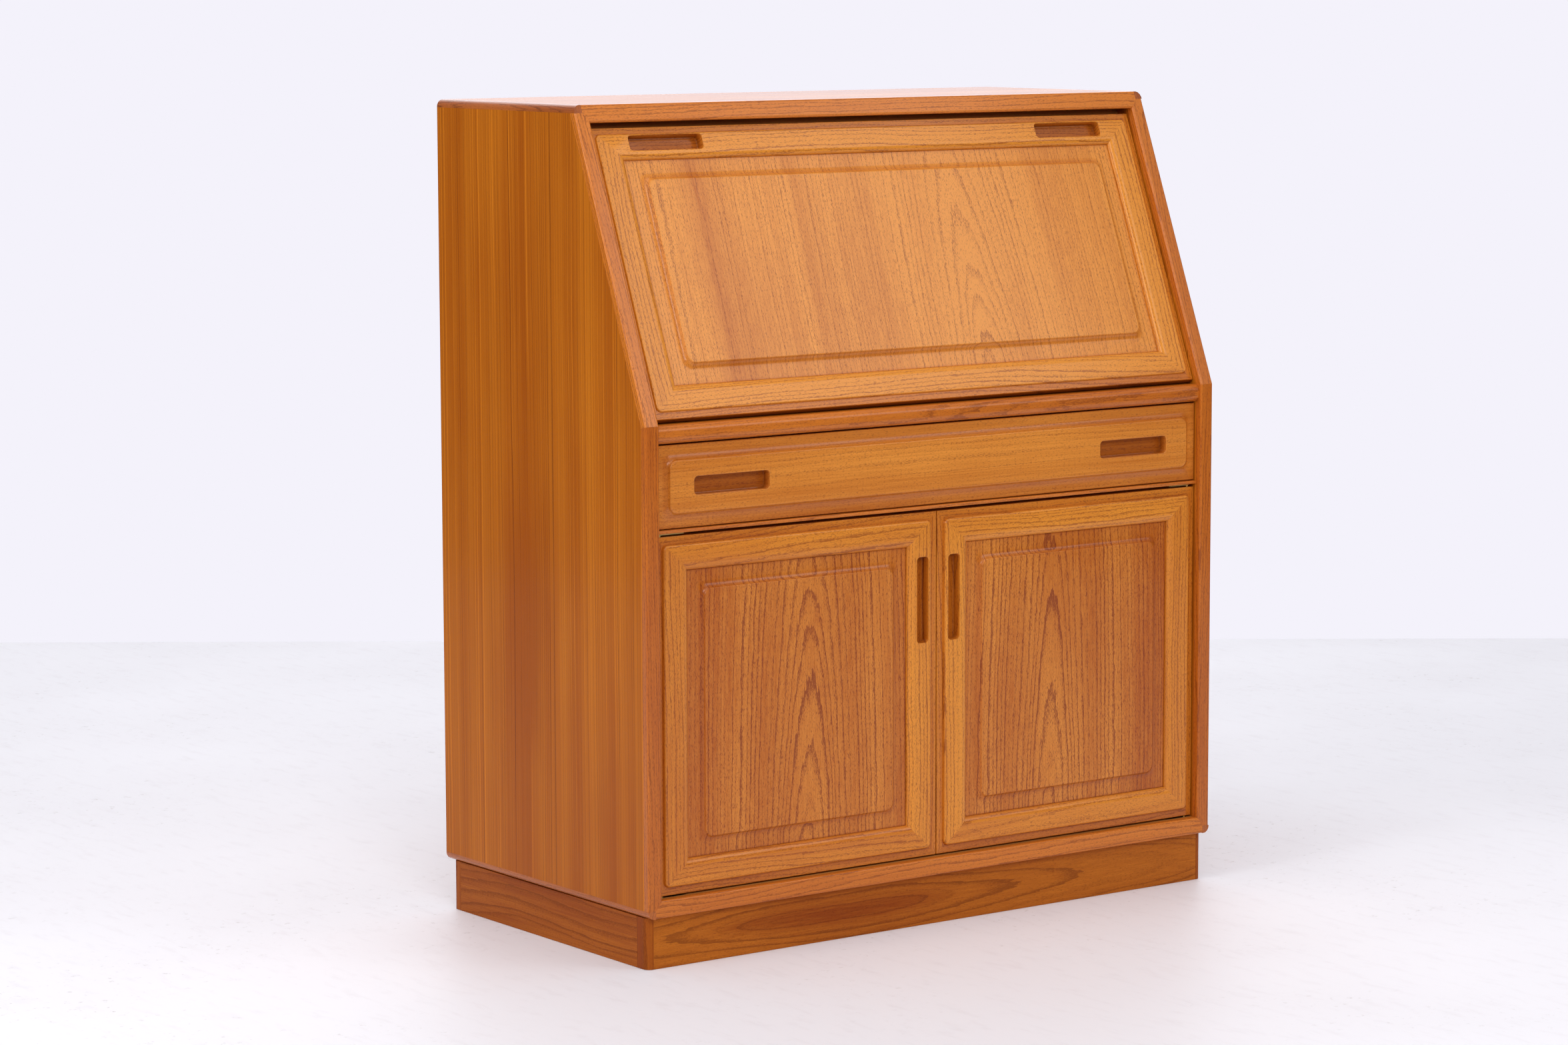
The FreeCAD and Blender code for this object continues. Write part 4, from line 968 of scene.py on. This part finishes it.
def turn_foot(piece):
    """Brings the corners near the pivot onto the turned foot."""
    pivot = SLANTED @ Vector((0, *FLAP_PIVOT))
    limit = (-SETBACK - FLAP_PIVOT[1] - FOOT_CLEAR) * MM
    for vert in piece.bm.verts:
        arm = vert.co - pivot
        arm.x = 0
        if arm.dot(AXIS["slope"]) < 0 and arm.dot(SLOPE_OUT) < limit:
            if arm.length > FOOT_ROUND * MM:
                vert.co -= arm * (1 - FOOT_ROUND * MM / arm.length)


box = [flap_low.x / MM, flap_high.x / MM, FLAP_FOOT, flap_head]
names = {"top": "flap_rail_top", "bottom": "flap_rail_bottom", "left": "flap_stile_left",
         "right": "flap_stile_right"}
face = FLAP["base"] + FLAP["rise"]
slot_y = flap_head - FLAP_SLOT_DOWN
slots = [(sign * SLOT_ASIDE, slot_y, FLAP_SLOT, face, SLOT_DEPTH, SLOT_ROUND) for sign in (-1, 1)]
# The flap's members and panel take a lighter tone than the doors'. Part of it is painted light: its slope
# catches more light from above.
hole = make_frame(SLANTED, box, names=names, tone=0.8, pockets={"top": slots}, foot=foot_section, **FLAP)
level = face - FLAP["sink"]
make_panel(SLANTED, "flap_panel", hole, level=level, back=-SETBACK - FLAP["thick"],
           heart=(-105, 46), lean=0.10, start=7.7, figure=0.6, tone=0.75, **FLAP_PANEL)

# %% [markdown]
# ## Pins and screws
# Four shelf pins share one shape, and so do the twelve screws of the stays. They could be copied by hand,
# but Geometry Nodes keep one shape and put it wherever a point is. Each tree below turns every copy so that
# it points along the point's "aim". The sizes are named inputs, so one tree per fitting serves every place.

# %% Trees for a turned pin and a slotted screw
ROUND_SIDES = 20         # sides of a pin or a screw head
PIN_POINTS = 13          # points along a pin
PIN_TIP = 0.25           # how much narrower its ends are
TIP_SHARPNESS = 24       # an even number: the higher, the nearer the end it narrows
HEAD_TOP = 0.62          # a head's top, and its slot's length and width, as shares of its radius
SLOT_LONG = 3
SLOT_WIDE = 0.28


def repeat_tree(name, inputs, shape):
    tree = bpy.data.node_groups.new(name, "GeometryNodeTree")
    tree.interface.new_socket("Places", in_out="INPUT", socket_type="NodeSocketGeometry")
    for label in inputs:
        tree.interface.new_socket(label, in_out="INPUT", socket_type="NodeSocketFloat")
    tree.interface.new_socket("Finish", in_out="INPUT", socket_type="NodeSocketMaterial")
    tree.interface.new_socket("Copies", in_out="OUTPUT", socket_type="NodeSocketGeometry")
    start = Wire(tree).node("NodeGroupInput")
    aim = start.node("GeometryNodeInputNamedAttribute", {"data_type": "FLOAT_VECTOR"}, {"Name": "aim"})
    turn = start.node("FunctionNodeAlignRotationToVector", {"axis": "Z"}, {"Vector": aim})
    copies = start.node("GeometryNodeInstanceOnPoints", {}, {
        "Points": start, "Instance": shape(start), "Rotation": turn,
    })
    real = copies.node("GeometryNodeRealizeInstances", {}, {"Geometry": copies})
    dressed = real.node("GeometryNodeSetMaterial", {}, {"Geometry": real, "Material": start.of("Finish")})
    dressed.node("NodeGroupOutput", {}, {"Copies": dressed})
    return tree


def turned_pin(start):
    """A rod whose ends are drawn in a little, from the point along the aim."""
    tip = start.node("ShaderNodeCombineXYZ", {}, {"Z": start.of("Length")})
    line = start.node("GeometryNodeCurvePrimitiveLine", {}, {"End": tip})
    line = line.node("GeometryNodeResampleCurve", {}, {"Curve": line, "Count": PIN_POINTS})
    along = start.node("GeometryNodeSplineParameter")
    ends = (along * 2 - 1) ** TIP_SHARPNESS
    shaped = line.node("GeometryNodeSetCurveRadius", {}, {"Curve": line, "Radius": 1 - ends * PIN_TIP})
    ring = start.node("GeometryNodeCurvePrimitiveCircle", {}, {
        "Resolution": ROUND_SIDES, "Radius": start.of("Radius"),
    })
    return shaped.node("GeometryNodeCurveToMesh", {}, {
        "Curve": shaped, "Profile Curve": ring, "Fill Caps": True,
    })


def slotted_screw(start):
    """A low head, narrower at its top, with one straight slot."""
    radius = start.of("Radius")
    height = start.of("Length")
    head = start.node("GeometryNodeMeshCone", {}, {
        "Vertices": ROUND_SIDES, "Radius Top": radius * HEAD_TOP, "Radius Bottom": radius, "Depth": height,
    })
    size = start.node("ShaderNodeCombineXYZ", {}, {
        "X": radius * SLOT_LONG, "Y": radius * SLOT_WIDE, "Z": height,
    })
    slot = start.node("GeometryNodeMeshCube", {}, {"Size": size})
    lift = start.node("ShaderNodeCombineXYZ", {}, {"Z": height})
    slot = slot.node("GeometryNodeTransform", {}, {"Geometry": slot, "Translation": lift})
    cut = head.node("GeometryNodeMeshBoolean", {"operation": "DIFFERENCE"}, {"Mesh 1": head})
    cut.tree.links.new(slot.socket, cut.socket.node.inputs["Mesh 2"])
    return cut


PIN_TREE = repeat_tree("turned_pins", ["Radius", "Length"], turned_pin)
SCREW_TREE = repeat_tree("slotted_screws", ["Radius", "Length"], slotted_screw)
print("nodes in the trees:", len(PIN_TREE.nodes), len(SCREW_TREE.nodes))

# %% Copies as one plain mesh
CRISP_METAL = math.radians(35)


def repeated(name, tree, places, aims, radius, length, body, nodes=()):
    """Copies of a fitting at places, in mm, as one plain mesh on one body."""
    mesh = bpy.data.meshes.new(name)
    mesh.from_pydata([Vector(place) * MM for place in places], [], [])
    aim = mesh.attributes.new("aim", "FLOAT_VECTOR", "POINT")
    aim.data.foreach_set("vector", [v for way in aims for v in way])
    piece = bpy.data.objects.new(name, mesh)
    bpy.context.scene.collection.objects.link(piece)
    copier = piece.modifiers.new("copies", "NODES")
    copier.node_group = tree
    values = {"Radius": radius * MM, "Length": length * MM, "Finish": FINISH["brass"]}
    for item in tree.interface.items_tree:
        if item.in_out == "INPUT" and item.name in values:
            copier[item.identifier] = values[item.name]
    made = piece.evaluated_get(bpy.context.evaluated_depsgraph_get())
    piece.data = bpy.data.meshes.new_from_object(made)
    piece.modifiers.clear()
    piece.data.set_sharp_from_angle(angle=CRISP_METAL)
    if nodes:
        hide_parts(*nodes)
    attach(piece, body)
    print(name, "copies:", len(places), "faces:", len(piece.data.polygons))
    return piece


# %% Shelf pins
PIN_LENGTH = 17.0
low, high = [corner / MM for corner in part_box("shelf_pins")]
radius = (high.z - low.z) / 2
pin_places = []
for x in (low.x, high.x):
    for y in (low.y + radius, high.y - radius):
        pin_places.append((x, y, (low.z + high.z) / 2))
aims = [(1, 0, 0), (1, 0, 0), (-1, 0, 0), (-1, 0, 0)]
repeated("shelf_pins_turned", PIN_TREE, pin_places, aims, radius, PIN_LENGTH, "carcass", ["shelf_pins"])

# %% Screws of the stays
HEAD_HEIGHT = 0.8
PLATE_THICK = 2.0        # of the side plates and of the brackets
PLATE_INSET = (4.5, 5.5)             # from a side plate's edges, in y and z
PLATE_HEAD = 2.4         # radius of a head on a side plate
BRACKET_IN = 13          # from a bracket's outer edge
BRACKET_UP = 5           # above and below its middle
BRACKET_HEAD = 2.2

low, high = [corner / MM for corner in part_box("stay_side_plates")]
screw_places = []
aims = []
for sign, x in ((-1, low.x), (1, high.x)):
    for y in (low.y + PLATE_INSET[0], high.y - PLATE_INSET[0]):
        for z in (low.z + PLATE_INSET[1], high.z - PLATE_INSET[1]):
            screw_places.append((x - sign * PLATE_THICK, y, z))
            aims.append((-sign, 0, 0))
repeated("stay_plate_screws", SCREW_TREE, screw_places, aims, PLATE_HEAD, HEAD_HEIGHT, "carcass")

bracket_low, bracket_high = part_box("stay_flap_brackets")
inner_face = -SETBACK - FLAP["thick"] - PLATE_THICK
bracket_middle = (SLANTED.inverted() @ Vector((0, (bracket_low.y + bracket_high.y) / 2,
                                               (bracket_low.z + bracket_high.z) / 2))).y
bracket_x = bracket_high.x / MM - BRACKET_IN
out = SLANTED.to_3x3() @ Vector((0, 0, -1000))
screw_places = []
aims = []
for sign in (-1, 1):
    for shift in (-BRACKET_UP, BRACKET_UP):
        place = SLANTED @ Vector((sign * bracket_x, bracket_middle + shift, inner_face))
        screw_places.append(place / MM)
        aims.append(out)
repeated("stay_bracket_screws", SCREW_TREE, screw_places, aims, BRACKET_HEAD, HEAD_HEIGHT, "flap")

# %% [markdown]
# ## Floor and light
# The desk stands on a pale painted floor in a bright room. A room could be built round it, but here it is
# only the world's colour: the floor ends where a wall would start, and the world shows above it.

# %% Floor
heading = Vector((0.5909, 0.8068, 0))      # the way the camera looks, laid flat
aside = Vector((0.8068, -0.5909, 0))
WALL_AT = 2.2                              # metres behind the desk
WIDE = 1.6                                 # its reach aside and in front, in times that
FLOOR_DROP = 0.0002                        # metres below the desk
floor_mesh = bpy.data.meshes.new("floor")
corners = [(heading * along + aside * across) * WALL_AT for along, across in
           ((-WIDE, -WIDE), (-WIDE, WIDE), (1, WIDE), (1, -WIDE))]
floor_mesh.from_pydata([corner - Vector((0, 0, FLOOR_DROP)) for corner in corners], [], [(0, 1, 2, 3)])
floor = bpy.data.objects.new("floor", floor_mesh)
bpy.context.scene.collection.objects.link(floor)
floor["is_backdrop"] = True
print("floor, metres:", round(2 * WIDE * WALL_AT, 2), "wide")

# %% Painted floor
material, start = new_material("painted_floor")
place = start.node("ShaderNodeTexCoord", {}, {}, out="Object")
worn = place.noise(2.2, 4.0)
specks = place.noise(70.0, 3.0, rough=0.7).step(0.6, 0.72) * worn.step(0.42, 0.66)
streaks = place.stretched(60.0, 14.0, 1.0).noise(1.0, 4.0, rough=0.65)
colour = (worn * 0.5 + streaks.step(0.5, 0.75) * 0.5).mix(rgb(248, 247, 251), rgb(238, 235, 239))
colour = (specks * 0.45).mix(colour, rgb(176, 168, 164))
shader = start.node("ShaderNodeBsdfPrincipled", {}, {"Base Color": colour, "Roughness": worn * 0.2 + 0.42})
shader.node("ShaderNodeOutputMaterial", {}, {"Surface": shader})
floor_mesh.materials.append(material)
print("floor nodes:", len(material.node_tree.nodes))

# %% [markdown]
# ## World and lamps
# The world does two jobs. To the camera it is a plain pale wall. To the wood it is a room that is bright
# overhead and behind the desk and dim near the ground, because lacquer shows what it reflects, and a room
# of one brightness would lay a milky veil over every face. Five soft lamps give the wood its shape, as
# windows and a white ceiling would: one on the left, one in front, one on the right, one overhead, and one
# behind that lights the far floor.

# %% World
world = bpy.data.worlds.new("white_room")
world.use_nodes = True
world.node_tree.nodes.clear()
start = Wire(world.node_tree)
way = start.node("ShaderNodeTexCoord", {}, {}, out="Generated")
height = way.node("ShaderNodeSeparateXYZ", {}, {0: way}, out="Z")
behind = way.node("ShaderNodeVectorMath", {"operation": "DOT_PRODUCT"}, {0: way, 1: heading}, out="Value")
glow = height.step(0.1, 0.75) * 0.34 + height.step(-0.02, 0.06) * 0.12 + 0.05
glow = glow + behind.step(0.72, 0.95) * height.step(-0.03, 0.03) * height.step(0.6, 0.3) * 1.8
room = glow.node("ShaderNodeBackground", {}, {"Color": rgb(248, 248, 255), "Strength": glow})
wall = start.node("ShaderNodeBackground", {}, {"Color": rgb(244, 242, 251)})
seen = start.node("ShaderNodeLightPath", {}, {}, out="Is Camera Ray")
both = seen.node("ShaderNodeMixShader", {}, {0: seen, 1: room, 2: wall})
both.node("ShaderNodeOutputWorld", {}, {"Surface": both})
bpy.context.scene.world = world
bpy.context.scene.view_settings.view_transform = "Standard"
print("world nodes:", len(world.node_tree.nodes))


# %% Lamps
def lamp(name, place, target, size, power):
    """A soft lamp that faces the target. Places and size are in metres, power in watts."""
    data = bpy.data.lights.new(name, "AREA")
    data.shape = "RECTANGLE"
    data.size, data.size_y = size
    data.energy = power
    light = bpy.data.objects.new(name, data)
    light.location = place
    light.rotation_euler = (Vector(target) - Vector(place)).to_track_quat("-Z", "Y").to_euler()
    bpy.context.scene.collection.objects.link(light)


lamp("left_window", (-4.2, -0.4, 2.4), (0, 0, 0.5), (1.8, 2.4), 56)
lamp("front_window", (-2.4, -4.2, 2.9), (0, 0, 0.6), (1.8, 2.4), 70)
lamp("right_window", (2.6, -4.0, 3.0), (0, 0, 0.6), (2.4, 2.0), 37)
lamp("ceiling", (-0.8, -0.8, 3.4), (0, 0, 0.4), (3.0, 3.0), 30)
lamp("back_window", (1.2, 2.2, 2.6), (1.0, 1.7, 0.0), (3.4, 1.6), 20)
print("lamps:", len(bpy.data.lights))

# %% Size and finish
low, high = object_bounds()
print("finished box, mm:", [round(v / MM, 1) for v in (high - low)])
